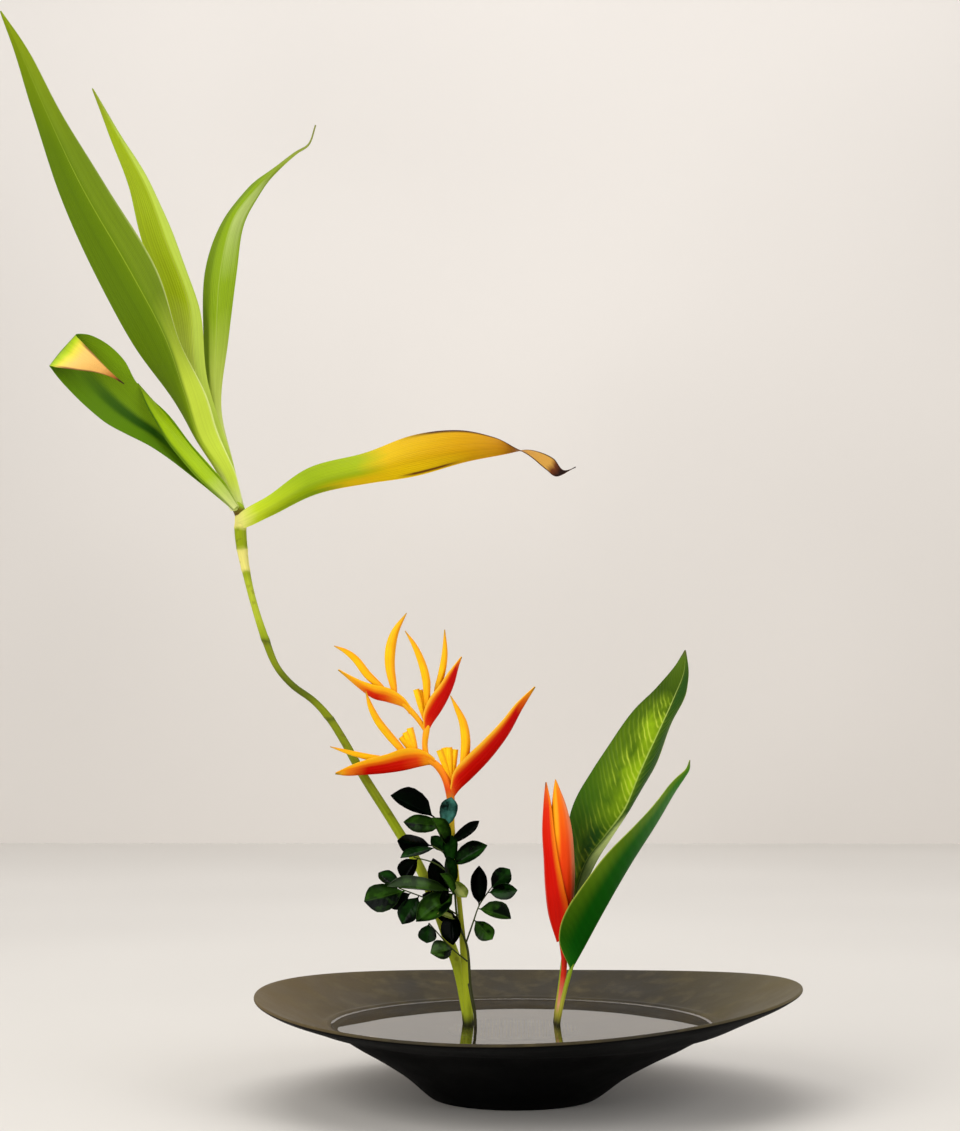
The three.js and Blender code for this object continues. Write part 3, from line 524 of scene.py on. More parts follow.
bowl = {
    "footRadius": 60, "ridgeRadius": 141, "rimRadius": 197.5, "lean": 10,
    "waves": {"cos1": 3.2, "sin1": 0.8, "cos2": 5.4, "sin2": -1.7},  # the rim's rise and fall
    "outside": [
        [57, 0], [59.3, 0.3], [61, 1.2], [66, 4.8], [80, 16], [100, 28.2], [118, 37.8], [135, 47.2],
        [150, 51.4], [165, 56.9], [180, 62.4], [190, 66.3], [196, 69.4], [197.3, 70.4], [197.4, 71.2],
    ],
    "inside": [
        [197.1, 72.1], [196.4, 72.55], [194.6, 72.2], [190, 70.4], [180, 66.3], [165, 60.8], [152, 56.1],
        [146.5, 54], [144.4, 53.5], [142.8, 53.7], [141, 53.8], [139.4, 53.2], [137.5, 51.9], [125, 45.4],
        [100, 32.4], [75, 19.4], [70, 16.8], [66, 16], [40, 16],
    ],
    "well": ([70, 16.8], [137.5, 51.9]),  # the straight stretch between the floor's edge and the ring
    # outer: the clay's own charcoal, deepened to nearly black by painted shade
    "outer": "#030303", "inner": [(0.3, "#221c0e"), (0.5, "#302812"), (0.7, "#463c22")],
    # the next two are painted light on the inside's left and right sides
    "innerLitLeft": "#7e6a45", "innerLitRight": "#6a5e3e", "worn": "#6f633e",
}
water = {
    "level": 52, "floor": 15.7, "halfWay": 34, "flat": 40, "meniscus": 0.5,
    "edge": [(0, 1), (1, 0.4), (3, 0.1), (7, 0)],  # how far in from the wall, share of the meniscus
    "sunk": 0.3,  # it reaches a hair into the stoneware, so that no air shows between them
}
holder = {
    "radius": 48, "bottom": 16.35, "top": 26.35, "edge": 1.2,
    "needle": 0.62, "point": 0.12, "tips": 41.3, "rooted": 1,  # rooted so deep in the block
    "pitch": 5.2, "rows": 0.94, "margin": 3,  # the rows stand closer, by that share of the pitch
}


def lean(obj):
    # the wall leans towards +X from the foot up, and the flange is thrown unevenly
    waves = bowl["waves"]
    for v in obj.data.vertices:
        reach = math.hypot(v.co.x, v.co.y) / mm
        turn = math.atan2(v.co.y, v.co.x)
        flange = max(0, (reach - bowl["ridgeRadius"]) / (bowl["rimRadius"] - bowl["ridgeRadius"]))
        wave = (waves["cos1"] * math.cos(turn) + waves["sin1"] * math.sin(turn)
                + waves["cos2"] * math.cos(2 * turn) + waves["sin2"] * math.sin(2 * turn))
        share = max(0, (reach - bowl["footRadius"]) / (bowl["rimRadius"] - bowl["footRadius"]))
        v.co.x += bowl["lean"] * share * mm
        v.co.z += wave * flange * mm
    obj.data.update()


def makeBowl():
    profile = bowl["outside"] + bowl["inside"]
    obj = thrown("stonewareBowl", eased(profile, 4 * (len(profile) - 1)))
    lean(obj)
    settle(obj, stonewareLook(), "stoneware", "bowl")
    print("bowl made")


def wellRadius(z):
    (lowRadius, low), (highRadius, high) = bowl["well"]
    return lowRadius + (z - low) * (highRadius - lowRadius) / (high - low)


def makeWater():
    level, low, halfWay = water["level"], water["floor"], water["halfWay"]
    rings = [[wellRadius(low) - 1, low], [wellRadius(low + 0.4), low + 0.4], [wellRadius(halfWay), halfWay]]
    for inwards, share in water["edge"]:
        rings.append([wellRadius(level) - inwards, level + water["meniscus"] * share])
    rings.append([water["flat"], level])
    obj = thrown("wellWater", [[r + water["sunk"], z] for r, z in rings])
    lean(obj)
    settle(obj, waterLook(), "water", "water")
    print("water made")


def makeHolder():
    radius, low, top, tips = holder["radius"], holder["bottom"], holder["top"], holder["tips"]
    root = top - holder["rooted"]
    deselect()
    bpy.ops.mesh.primitive_cylinder_add(vertices=96, radius=radius * mm, depth=(top - low) * mm,
                                        location=(0, 0, (top + low) / 2 * mm))
    block = named("holderBlock")
    bpy.ops.object.mode_set(mode="EDIT")
    bpy.ops.mesh.select_all(action="DESELECT")
    bpy.ops.mesh.edges_select_sharp(sharpness=math.radians(60))
    bpy.ops.mesh.bevel(offset=holder["edge"] * mm, segments=4)
    bpy.ops.object.mode_set(mode="OBJECT")
    smooth(block, 40)
    settle(block, metalLook("castLead", "#3c3d3a", "#6b6a60", 0.8, 0.45), "holder_metal", "needle_holder")
    deselect()
    bpy.ops.mesh.primitive_cone_add(vertices=8, radius1=holder["needle"] * mm, radius2=holder["point"] * mm,
                                    depth=(tips - root) * mm)
    needle = bpy.context.object
    needles = []
    reach = radius - holder["margin"]
    rows = int(reach / holder["pitch"])
    for row in range(-rows, rows + 1):
        for column in range(-rows, rows + 1):
            x = (column + 0.5 * (row % 2)) * holder["pitch"]
            y = row * holder["pitch"] * holder["rows"]
            if math.hypot(x, y) < reach:
                one = needle.copy()
                one.data = needle.data.copy()
                one.data.transform(Matrix.Translation(Vector((x, y, (tips + root) / 2)) * mm))
                bpy.context.collection.objects.link(one)
                needles.append(one)
    bpy.data.objects.remove(needle)
    brass = metalLook("agedBrass", "#6b5a24", "#b09a4c", 1.0, 0.3)
    settle(join(needles, "holderNeedles"), brass, "holder_metal", "needle_holder")
    print("needle holder made")


# cane and its strap leaves

cane = {
    "line": [
        [-32, 4, 31.5, 4.2], [-33, 4, 52, 4.2], [-36, 4, 72, 4.2], [-40, 4, 90, 4.1], [-46.5, 4, 109, 4],
        [-67, 4, 161, 3.7], [-87, 4, 195, 3.5], [-110, 4, 231, 3.3], [-124, 3, 256, 2.9],
        [-135, 2, 273, 2.75], [-146, 1, 285, 2.5], [-162, 0, 297, 2.4], [-173, 0, 310, 2.4],
        [-181.5, 0, 330, 2.8], [-190, 0, 356, 2.5], [-195.5, 0, 378, 2.9], [-198.5, 0, 394, 3.9],
        [-200, -1, 408, 4.4], [-200.2, -1, 422.6, 3.7],
    ],
    "joints": [(273, 0.1), (330, 0.15), (381, 0.1), (396, 0.06), (412, 0.1), (419, 0.06)],  # height, swelling
    "jointReach": 1.6, "scars": 0.35, "ringWander": 5, "collarWander": 4,
    # the first shade is painted shade below the water line; deep is the dark joints and also painted shade on
    # the bend
    "shades": {
        "shadedUnderWater": "#2a2a14", "sunny": "#aab62a", "leafy": "#8c9c0c", "olive": "#7a860c",
        "deep": "#546008", "ring": "#dfd674", "dry": "#7a6014",
    },
    "zones": [  # height, shade: dark joints, painted shade below the water line and on the bend, pale rings where leaves have dropped
        (31.5, "shadedUnderWater"), (53, "shadedUnderWater"), (61, "sunny"), (165, "sunny"), (195, "leafy"), (215, "olive"),
        (268, "olive"), (271.5, "deep"), (274.5, "olive"), (281, "olive"), (290, "deep"), (298, "deep"),
        (313, "olive"), (324, "olive"), (328, "deep"), (332, "leafy"), (344, "sunny"), (370, "sunny"),
        (378, "leafy"), (380.5, "ring"), (395, "ring"), (397, "leafy"), (411, "leafy"), (412.5, "ring"),
        (419, "ring"), (421, "dry"),
    ],
    "collarColours": [(0.0, "#5a4410"), (0.25, "#6e6a10"), (0.5, "#9ab418"), (1.0, "#c4d84c")],
    "collar": [  # the youngest sheath, round the feet of the leaves
        [-200.3, -1, 421, 3.9], [-201.2, -1.6, 425, 4.4], [-203, -2.6, 429, 3.6], [-205.5, -3.5, 434, 1.2],
    ],
}

strapBuild = {"thickness": 0.5, "across": 20, "along": 120, "waves": (0.5, 5)}
rollBuild = {"thickness": 0.5, "across": 12, "along": 80}

# Each station is [left edge, midrib, right edge] from base to tip; each band is (its middle across,
# solid and faded half widths, strength from base to tip, colour).
evenly = [(0.0, 1.0), (1.0, 1.0)]
faintly = [(0.0, 0.5), (1.0, 0.4)]
strapLeaves = {
    "strap_leaf_long": {
        "skin": "freshLongLeaf",
        "stations": [
            [[-207, -3, 424], [-203, -5, 424], [-198.5, -3, 425.5]],
            [[-213, -5, 437], [-208, -7, 437], [-200.5, -4, 440]],
            [[-216, -6, 450], [-212, -8, 450], [-204, -4, 452]],
            [[-234, -8, 479], [-229.5, -11, 477], [-216.5, -5, 481.5]],
            [[-251, -13, 508.5], [-239.5, -18, 508.5], [-225, -9, 508]],
            [[-277.5, -22, 545.5], [-252, -27, 547], [-243.5, -16, 547.5]],
            [[-302.5, -30, 592.5], [-277, -35, 595.5], [-260, -26, 599]],
            [[-329, -40, 654], [-311, -45, 655], [-294.5, -37, 657]],
            [[-345.5, -50, 707.5], [-336, -54, 709], [-325, -49, 706.5]],
            [[-357, -58, 748], [-353, -60, 749], [-347.5, -58, 750.5]],
            [[-366.8, -66, 777], [-366.3, -66, 777.5], [-365.8, -66, 777.5]],
        ],
        "paint": {
            "along": [(0.0, "#f2f6b8"), (0.13, "#dce880"), (0.24, "#b4ca2c"), (0.34, "#7c9606"),
                      (0.45, "#5e7a00"), (0.75, "#607c00"), (1.0, "#8ca000")],
            "bands": [
                # painted shade: the left half darker
                (0.2, (0.12, 0.3), [(0.2, 0.0), (0.36, 0.7), (0.7, 0.6), (0.95, 0.0)], "#547000"),
                # painted light: the right half lighter
                (0.8, (0.2, 0.3), [(0.0, 0.4), (0.2, 1.0), (0.42, 1.0), (0.56, 0.1)], "#c6da40"),
                (1.0, (0.0, 0.06), [(0.0, 1.0), (0.5, 1.0), (0.7, 0.2), (1.0, 0.2)], "#dce88c"),
                (0.5, (0.0, 0.015), faintly, "#b4c83c"),
            ],
        },
    },
    "strap_leaf_middle": {
        "skin": "freshMiddleLeaf",
        "stations": [
            [[-202, -0.6, 423.6], [-200, -1.4, 423.4], [-197.5, -0.6, 423.6]],
            [[-216, 1, 460], [-212, -1, 461], [-206, 1, 459]],
            [[-242.5, 5, 518.5], [-233, 1, 519], [-225.5, 5, 520.5]],
            [[-259.5, 10, 578.5], [-240.5, 5, 578], [-233.5, 10, 577.5]],
            [[-276.5, 15, 626], [-258, 9, 625], [-251.5, 15, 626]],
            [[-287, 19, 667], [-274, 14, 667], [-269.5, 19, 668]],
            [[-304, 24, 711], [-298.5, 22, 711.5], [-294, 24, 708]],
            [[-317.5, 28, 745.5], [-317, 28, 746], [-316.5, 28, 745.5]],
        ],
        "paint": {
            "along": [(0.0, "#f0f4b4"), (0.26, "#dcea68"), (0.45, "#b4ca14"), (0.85, "#9eb40c"),
                      (1.0, "#929f2c")],
            "bands": [
                (0.85, (0.25, 0.34), [(0.0, 1.0), (0.75, 1.0), (1.0, 0.4)], "#c4da50"),
                (0.5, (0.0, 0.02), faintly, "#c4d468"),
            ],
        },
    },
    "strap_leaf_curled": {
        "skin": "freshCurledLeaf",
        "stations": [
            [[-201.5, 2.4, 423.6], [-199, 1.4, 423.4], [-197, 2.4, 423.7]],
            [[-214, 6, 462.5], [-210.5, 4, 462.5], [-206.5, 6, 460.5]],
            [[-224.5, 11, 501.5], [-220, 7, 501], [-216.5, 11, 501.5]],
            [[-230.5, 18, 553], [-220.5, 12, 553], [-212, 18, 553]],
            [[-231, 27, 606], [-218.5, 20, 605.5], [-207.5, 26, 605]],
            [[-217, 35, 649.5], [-210, 29, 647], [-202.5, 35, 644]],
            [[-201, 39, 671.5], [-196, 36, 669], [-192.5, 40, 667]],
            [[-184, 43, 686.5], [-182, 42, 685], [-180.5, 43, 683.5]],
            [[-165.5, 46, 701.5], [-165, 46, 700.5], [-164.5, 46, 699.5]],
            [[-156, 47, 707.8], [-155.5, 47, 707.2], [-155, 47, 706.6]],
            [[-150.8, 48, 722.5], [-150.3, 48, 722.5], [-149.8, 48, 722]],
        ],
        "paint": {
            "along": [(0.0, "#f0f4b4"), (0.2, "#cada60"), (0.34, "#8caa10"), (0.62, "#84a20e"),
                      (0.78, "#98a83c"), (1.0, "#8d8f4c")],
            "bands": [
                (0.05, (0.12, 0.25), [(0.1, 0.0), (0.25, 0.9), (0.62, 0.9), (0.72, 0.0)], "#6f8a10"),
                (0.72, (0.12, 0.28), [(0.38, 0.0), (0.5, 0.8), (0.62, 0.6), (0.7, 0.0)], "#c4d67c"),
                (0.5, (0.0, 0.02), faintly, "#b6c860"),
            ],
        },
    },
    "strap_leaf_folded": {
        "skin": "freshFoldedLeaf",
        "stations": [
            [[-204, -7, 423.5], [-202, -5.5, 424.5], [-200.5, -6.5, 427]],
            [[-216.5, -14, 434], [-214.5, -11, 438.5], [-210, -13, 443.5]],
            [[-229, -18, 444.5], [-226.5, -14, 449], [-220, -17, 454.5]],
            [[-245, -23, 457], [-242, -17, 463.5], [-235, -20, 472.5]],
            [[-263, -28, 469], [-259, -21, 480], [-250, -24, 492]],
            [[-279, -33, 477.5], [-274.5, -26, 490.5], [-263, -28, 504.5]],
            [[-294, -38, 485.5], [-288.5, -31, 502], [-273, -32, 516]],
            [[-308, -43, 497], [-301.5, -35, 515.5], [-280.5, -36, 530]],
            [[-320.5, -47, 510.5], [-313, -38, 527.5], [-293, -40, 542]],
            [[-329, -50, 520.5], [-321.5, -41, 535], [-305.5, -44, 548]],
            [[-331.5, -53, 524], [-324, -46, 536], [-313, -48, 547]],
            [[-324.5, -58, 522], [-314.5, -55, 530.5], [-307.5, -55, 540.5]],
            [[-311, -61, 520], [-304.5, -60, 525.5], [-299, -59, 532]],
            [[-297, -62, 518], [-293.5, -61.5, 521.5], [-290.5, -61, 523]],
            [[-285.5, -61.5, 514.5], [-284.5, -61.5, 515.5], [-283.5, -61, 516]],
            [[-276.5, -60, 509.5], [-276.5, -60, 510], [-276.5, -60, 510]],
        ],
        "paint": {
            "along": [
                (0.0, "#d4e078"), (0.07, "#8cac10"), (0.17, "#567e04"), (0.6, "#5c8204"), (0.655, "#5a8a08"),
                (0.668, "#2a5a06"), (0.68, "#88a818"), (0.705, "#b4cc1c"), (0.73, "#ecd84c"),
                (0.77, "#f5c56b"), (0.88, "#f0b460"), (0.93, "#c07830"), (0.97, "#4a2410"), (1.0, "#140c08"),
            ],
            "wander": 0.02,
            "bands": [
                (0.9, (0.25, 0.42), [(0.02, 0.3), (0.3, 0.8), (0.62, 0.7), (0.655, 0.0)], "#769806"),
                # painted shadow: the rolled margin's shadow on the face
                (0.44, (0.04, 0.17), [(0.12, 0.0), (0.27, 1.0), (0.42, 0.7), (0.52, 0.0)], "#1f4a00"),
                (0.0, (0.02, 0.1), [(0.71, 0.0), (0.76, 0.9), (1.0, 1.0)], "#8a5a2c"),
                (1.0, (0.02, 0.1), [(0.71, 0.0), (0.76, 0.9), (1.0, 1.0)], "#8a5a2c"),
            ],
        },
        "roll": [  # the lower margin, rolled forwards over the face
            [[-271.5, -31, 514.5], [-271.5, -31.5, 514], [-271, -31.5, 514]],
            [[-261.5, -28, 503], [-262, -32, 500], [-265, -32, 498.5]],
            [[-251.5, -23, 491.5], [-253, -30, 486.5], [-257, -30, 484]],
            [[-243, -20, 481.5], [-246, -28, 477], [-251, -27, 473]],
            [[-232.5, -17, 469], [-236, -24, 465], [-241.5, -24, 460.5]],
            [[-220, -14, 455], [-223.5, -20, 451], [-229, -20, 446]],
            [[-208.5, -9, 441], [-211, -14, 437.5], [-215, -15, 433.5]],
            [[-201, -5, 427.5], [-202.5, -8, 426.5], [-205, -7.5, 424]],
        ],
        "rollPaint": {
            "along": [(0.0, "#7c9a0c"), (0.3, "#98b808"), (0.75, "#a8c820"), (1.0, "#dfe890")],
            "bands": [(1.0, (0.05, 0.22), [(0.0, 1.0), (1.0, 0.6)], "#2f5c02")],
        },
    },
    "strap_leaf_yellowing": {
        "skin": "dryingYellowLeaf",
        "stations": [  # the sheath at its foot goes part way round the cane
            [[-203.6, -4.2, 418.6], [-202.4, -5.5, 415.4], [-203.4, -4.2, 412.2]],
            [[-197.2, -4.8, 424.5], [-196.2, -5.6, 418], [-196.8, -4.6, 411.4]],
            [[-180, -5, 434.5], [-177.5, -8, 427], [-178, -4, 420]],
            [[-149.5, -10, 454.5], [-146, -14, 443.5], [-145.5, -9, 435]],
            [[-109, -16, 465], [-106, -21, 453], [-105.5, -14, 443]],
            [[-73, -22, 477], [-70, -27, 462.5], [-69, -19, 448.5]],
            [[-37, -28, 480], [-34, -31, 468], [-33.5, -25, 457.5]],
            [[-13.5, -32, 474.5], [-11.5, -34, 468], [-9.5, -31, 462]],
            [[1.5, -37, 466.5], [3, -33.5, 465], [3.5, -30, 464.5]],
            [[12, -36.5, 460], [13, -34, 462.5], [14.5, -32, 465]],
            [[23.5, -38, 450.5], [26, -36.5, 455], [28.5, -35, 459]],
            [[30.5, -38.5, 445.6], [33, -37.5, 447.8], [35.6, -36.5, 450.4]],
            [[44.5, -36, 453], [44.5, -36, 452.5], [44.5, -36, 452]],
        ],
        "paint": {
            "along": [
                (0.0, "#e2dc7c"), (0.07, "#e0e070"), (0.13, "#bcd020"), (0.24, "#90aa00"), (0.32, "#9cb008"),
                (0.37, "#dab404"), (0.49, "#cf9a00"), (0.6, "#bc8008"), (0.67, "#a66410"), (0.72, "#cc943c"),
                (0.83, "#d09c44"), (0.865, "#6a3414"), (0.91, "#24100a"), (1.0, "#140c0a"),
            ],
            "wander": 0.05,
            "bands": [
                (1.0, (0.15, 0.45), [(0.25, 0.0), (0.31, 1.0), (0.4, 1.0), (0.5, 0.0)], "#e6c000"),
                (0.9, (0.05, 0.1), [(0.15, 0.0), (0.19, 0.5), (0.27, 0.4), (0.3, 0.0)], "#6f8a00"),
                (0.93, (0.01, 0.05), [(0.38, 0.0), (0.41, 1.0), (0.46, 1.0), (0.49, 0.0)], "#6a3c0c"),
                (0.0, (0.02, 0.09), [(0.39, 0.0), (0.45, 1.0), (1.0, 1.0)], "#4a2810"),
                (1.0, (0.03, 0.14), [(0.65, 0.0), (0.7, 1.0), (1.0, 1.0)], "#3a1c0c"),
            ],
        },
    },
}


def centreAt(line, height):
    for a, b in zip(line, line[1:]):
        if a[2] <= height <= b[2]:
            share = (height - a[2]) / (b[2] - a[2])
            return [p + (q - p) * share for p, q in zip(a, b)]
    return line[0] if height < line[0][2] else line[-1]


def makeCane():
    line = cane["line"]
    obj = stalk("caneStem", line, around=24, along=180)
    for v in obj.data.vertices:
        height = v.co.z / mm
        swell = sum(k * math.exp(-((height - z) / cane["jointReach"]) ** 2) for z, k in cane["joints"])
        middle = centreAt(line, height)
        v.co.x += (v.co.x - middle[0] * mm) * swell
        v.co.y += (v.co.y - middle[1] * mm) * swell
    low, high = line[0][2], line[-1][2]
    stops = [((z - low) / (high - low), cane["shades"][shade]) for z, shade in cane["zones"]]
    skin = stemLook("freshCane", low, high, stops, scars=cane["scars"], wander=cane["ringWander"])
    obj.data.materials.append(skin)
    collar = stalk("caneCollar", cane["collar"], around=20, along=30, flat=0.9)
    low, high = cane["collar"][0][2], cane["collar"][-1][2]
    skin = stemLook("youngSheath", low, high, cane["collarColours"], wander=cane["collarWander"])
    collar.data.materials.append(skin)
    settle(join([obj, collar], "caneStem"), None, "cane", "cane")
    for name, leaf in strapLeaves.items():
        width = widest(leaf["stations"])
        obj = blade(name + "Blade", leaf["stations"], **strapBuild)
        obj.data.materials.append(strapLeafLook(leaf["skin"], leaf["paint"], width))
        if "roll" in leaf:
            roll = blade(name + "Roll", leaf["roll"], **rollBuild)
            underside = strapLeafLook(leaf["skin"] + "Back", leaf["rollPaint"], widest(leaf["roll"]))
            roll.data.materials.append(underside)
            obj = join([obj, roll], name + "Blade")
        slot = "strap_leaf_yellow" if name.endswith("yellowing") else "strap_leaf_green"
        settle(obj, None, slot, name)
    print("cane and strap leaves made")


# flower spray

spray = {
    "stem": [
        [-32, -5, 31.5, 3], [-33, -5, 52, 3], [-34, -5, 75, 2.9], [-36.5, -5, 106, 2.5],
        [-38.5, -5, 130, 1.9], [-41.5, -5, 160, 1.9], [-45, -5, 195, 2.2], [-46, -5, 216, 3],
        [-50, -5, 230, 2.8], [-56, -5, 238.5, 2.6], [-62.5, -5, 243.5, 2.4], [-64.5, -5, 252, 2.1],
        [-63.5, -5, 263, 2.4], [-61, -4, 275, 1.6],
    ],
    "branch": [[-63.5, -5, 263, 1.7], [-70, -5.5, 272.5, 2], [-82, -6, 285.5, 2.4]],
    "colourTop": 284,  # the height of the last colour
    # the first two colours, below the water line, are painted shade
    "colours": [
        (0.0, "#1c1e0c"), (0.085, "#303214"), (0.11, "#98a424"), (0.15, "#a8b424"), (0.4, "#acb024"),
        (0.63, "#c8b01c"), (0.71, "#cc8a1c"), (0.75, "#e0480c"), (0.79, "#f07c10"), (0.85, "#f4a010"),
        (1.0, "#f4b018"),
    ],
}
bractBuild = {"thickness": 0.9, "across": 20, "along": 70, "crease": 1.7}
longFlowerBuild = {"around": 16, "along": 40, "flat": 0.75}
youngFlowerBuild = {"around": 14, "along": 16, "flat": 0.7}

# Bracts are folded boats: each station is [near margin, keel, far margin].
bracts = {
    "bract_right": [
        [[-46, -8, 222], [-44, -5, 215], [-46, -2, 222]],
        [[-43.5, -9.5, 234], [-40, -5, 220.5], [-43.5, -0.5, 234]],
        [[-34.5, -14, 244.5], [-30.5, -6, 229.5], [-34.5, 2, 244.5]],
        [[-24, -15.5, 254.5], [-17.5, -7.5, 243], [-24, 0.5, 254.5]],
        [[-9, -15.5, 270], [-4, -9.5, 261], [-9, -3.5, 270]],
        [[2, -15, 283.5], [6, -11.5, 279.5], [2, -8, 283.5]],
        [[15, -14.4, 295.5], [15.5, -14, 295.3], [15, -13.6, 295.5]],
    ],
    "bract_left": [
        [[-57.5, -7.8, 243.5], [-56, -5, 237], [-57.5, -2.2, 243.5]],
        [[-63, -8.4, 247.6], [-60.5, -5, 239], [-63, -1.6, 247.6]],
        [[-70, -9.5, 250.5], [-67, -5.5, 238], [-70, -1.5, 250.5]],
        [[-80, -13, 250.5], [-80, -7, 235], [-80, -1, 250.5]],
        [[-92, -15, 246.5], [-94.5, -9.5, 233], [-92, -4, 246.5]],
        [[-107, -16.5, 242.5], [-109.5, -12, 232], [-107, -7.5, 242.5]],
        [[-118, -16.5, 238.5], [-120, -14, 231.5], [-118, -11.5, 238.5]],
        [[-128.5, -16.4, 233.5], [-128.8, -16, 232.6], [-128.5, -15.6, 233.5]],
    ],
    "bract_top_right": [
        [[-65.5, -7.2, 266.5], [-62.5, -5, 262.5], [-65.5, -2.8, 266.5]],
        [[-65.5, -8.5, 276], [-59.5, -5, 268.5], [-65.5, -1.5, 276]],
        [[-61, -10, 287], [-53, -4.5, 278], [-61, 1, 287]],
        [[-54, -9, 296], [-47.5, -4, 288], [-54, 1, 296]],
        [[-48, -7.5, 305], [-43.3, -3.5, 298.5], [-48, 0.5, 305]],
        [[-42.5, -5, 312], [-40.5, -3, 309.5], [-42.5, -1, 312]],
        [[-38.2, -2.9, 317.4], [-38, -2.5, 317], [-38.2, -2.1, 317.4]],
    ],
    "bract_top_left": [
        [[-73.4, -7.6, 278.6], [-75.6, -5.5, 275.6], [-73.4, -3.4, 278.6]],
        [[-80, -9, 287.4], [-79, -6, 280], [-80, -3, 287.4]],
        [[-90, -11, 294], [-91.5, -7, 284.5], [-90, -3, 294]],
        [[-100.5, -12.5, 296.5], [-101.5, -8.5, 287], [-100.5, -4.5, 296.5]],
        [[-110, -12.5, 299.5], [-111.5, -9.5, 294], [-110, -6.5, 299.5]],
        [[-118.5, -12, 303.5], [-119.5, -10.5, 300.8], [-118.5, -9, 303.5]],
        [[-127, -11.9, 308], [-127.3, -11.5, 307.6], [-127, -11.1, 308]],
    ],
}
redBract = {
    "along": [(0.0, "#e8641a"), (0.1, "#dc3408"), (0.22, "#cc0c00"), (0.8, "#c40000"), (0.88, "#e06008"),
              (0.95, "#e89418"), (1.0, "#6a6a24")],
    "bands": [
        (0.0, (0.02, 0.15), evenly, "#f47808"), (1.0, (0.02, 0.15), evenly, "#f47808"),
        (0.0, (0.01, 0.08), evenly, "#ffc030"), (1.0, (0.01, 0.08), evenly, "#ffc030"),
    ],
}
orangeBasedBract = {
    "along": [(0.0, "#f4a014"), (0.2, "#f08c10"), (0.32, "#e03c08"), (0.44, "#d41400"), (0.68, "#cc0800"),
              (0.86, "#f07c18"), (0.93, "#f4ac1c"), (1.0, "#8a7c2c")],
    "bands": [
        (0.0, (0.06, 0.2), evenly, "#f48408"), (1.0, (0.06, 0.2), evenly, "#f48408"),
        (0.0, (0.02, 0.12), evenly, "#ffb818"), (1.0, (0.02, 0.12), evenly, "#ffb818"),
    ],
}
smallBract = {
    "along": [(0.0, "#f4a010"), (0.24, "#f09414"), (0.36, "#e04c0c"), (0.46, "#d42404"), (0.56, "#d82c08"),
              (0.68, "#ee8c14"), (0.84, "#f0ac20"), (0.95, "#d0a030"), (1.0, "#7c7430")],
    "bands": [
        (0.0, (0.08, 0.24), evenly, "#f89c10"), (1.0, (0.08, 0.24), evenly, "#f89c10"),
        (0.0, (0.02, 0.12), evenly, "#ffc01c"), (1.0, (0.02, 0.12), evenly, "#ffc01c"),
    ],
}

longFlowers = {
    "flower_right": [
        [-39.6, -5.2, 224.6, 1.4], [-37, -6, 236, 2.6], [-35.3, -7, 247, 3.4], [-35, -7, 258, 3.5],
        [-37, -7, 270, 2.9], [-41.5, -7, 280, 1.8], [-46, -7, 289, 0.3],
    ],
    "flower_left": [
        [-77, -8.2, 243.5, 1.6], [-82, -8.6, 250.5, 2.5], [-91, -10.5, 261, 2.9], [-98.5, -13, 271, 2.7],
        [-103.5, -15, 281, 2], [-107, -16.5, 292, 0.3],
    ],
    "flower_left_low": [
        [-84, -6.2, 240.3, 1.5], [-93, -8.2, 242.5, 2.2], [-105, -9.5, 244.5, 2.3], [-118, -10, 247.5, 1.8],
        [-133, -11, 252, 0.3],
    ],
    "flower_top_middle": [
        [-61.4, -6.4, 279.5, 1.4], [-62.9, -7.2, 289, 2.4], [-63.5, -8, 300, 3], [-66.5, -8, 312, 2.8],
        [-72, -8, 325, 1.9], [-79, -8, 336, 0.3],
    ],
    "flower_top_right": [
        [-56, -2.6, 284, 1.4], [-56, -2.4, 292, 2.1], [-52.5, -2.2, 305, 2.6], [-50.3, -2, 319, 2.2],
        [-50.3, -2, 337, 0.4],
    ],
    "flower_top_low": [
        [-91, -7.4, 289.5, 1.6], [-98, -8.6, 296.5, 2.4], [-106, -9.6, 304, 2.9], [-115, -10, 315.5, 2.6],
        [-122, -10, 321, 1.8], [-130.5, -10, 325, 0.3],
    ],
    "flower_top_tall": [
        [-86, -5.4, 288.5, 1.5], [-87.5, -5, 296, 2.6], [-90, -5, 310, 3.6], [-89.5, -5, 324, 3.8],
        [-86, -5, 336, 2.7], [-78, -5, 349, 0.3],
    ],
}

# Short young flowers: the foot of each fan and the tips that stand on it.
flowerFans = {
    "flower_fan_right": ([-45.2, -4, 226.5, 2.4],
                         [[-54, -6, 249.5, 2.5], [-50.5, -4.4, 251.2, 2.4], [-47, -5.4, 251.4, 2.5],
                          [-42.5, -4, 250, 2.4]]),
    "flower_fan_left": ([-70.5, -4.6, 245, 1.7],
                        [[-82, -3.6, 259, 2.4], [-79, -4.6, 262.5, 2.4], [-75.5, -4, 265.5, 2.6]]),
    "flower_fan_top": ([-64.2, -5, 270.5, 1.5],
                       [[-71, -5, 293.5, 2.4], [-68.3, -3.4, 293, 2.2], [-65.5, -2.6, 291.5, 2.3]]),
}
flowerStops = [(0.0, "#f08c14"), (0.2, "#fcbc18"), (0.55, "#fccc0c"), (0.85, "#f8bc14"), (0.95, "#b89a30"),
               (1.0, "#6a6430")]
youngStops = [(0.0, "#e85010"), (0.16, "#f0900c"), (0.4, "#ffcc10"), (0.85, "#fcdc1c"), (1.0, "#e8b820")]


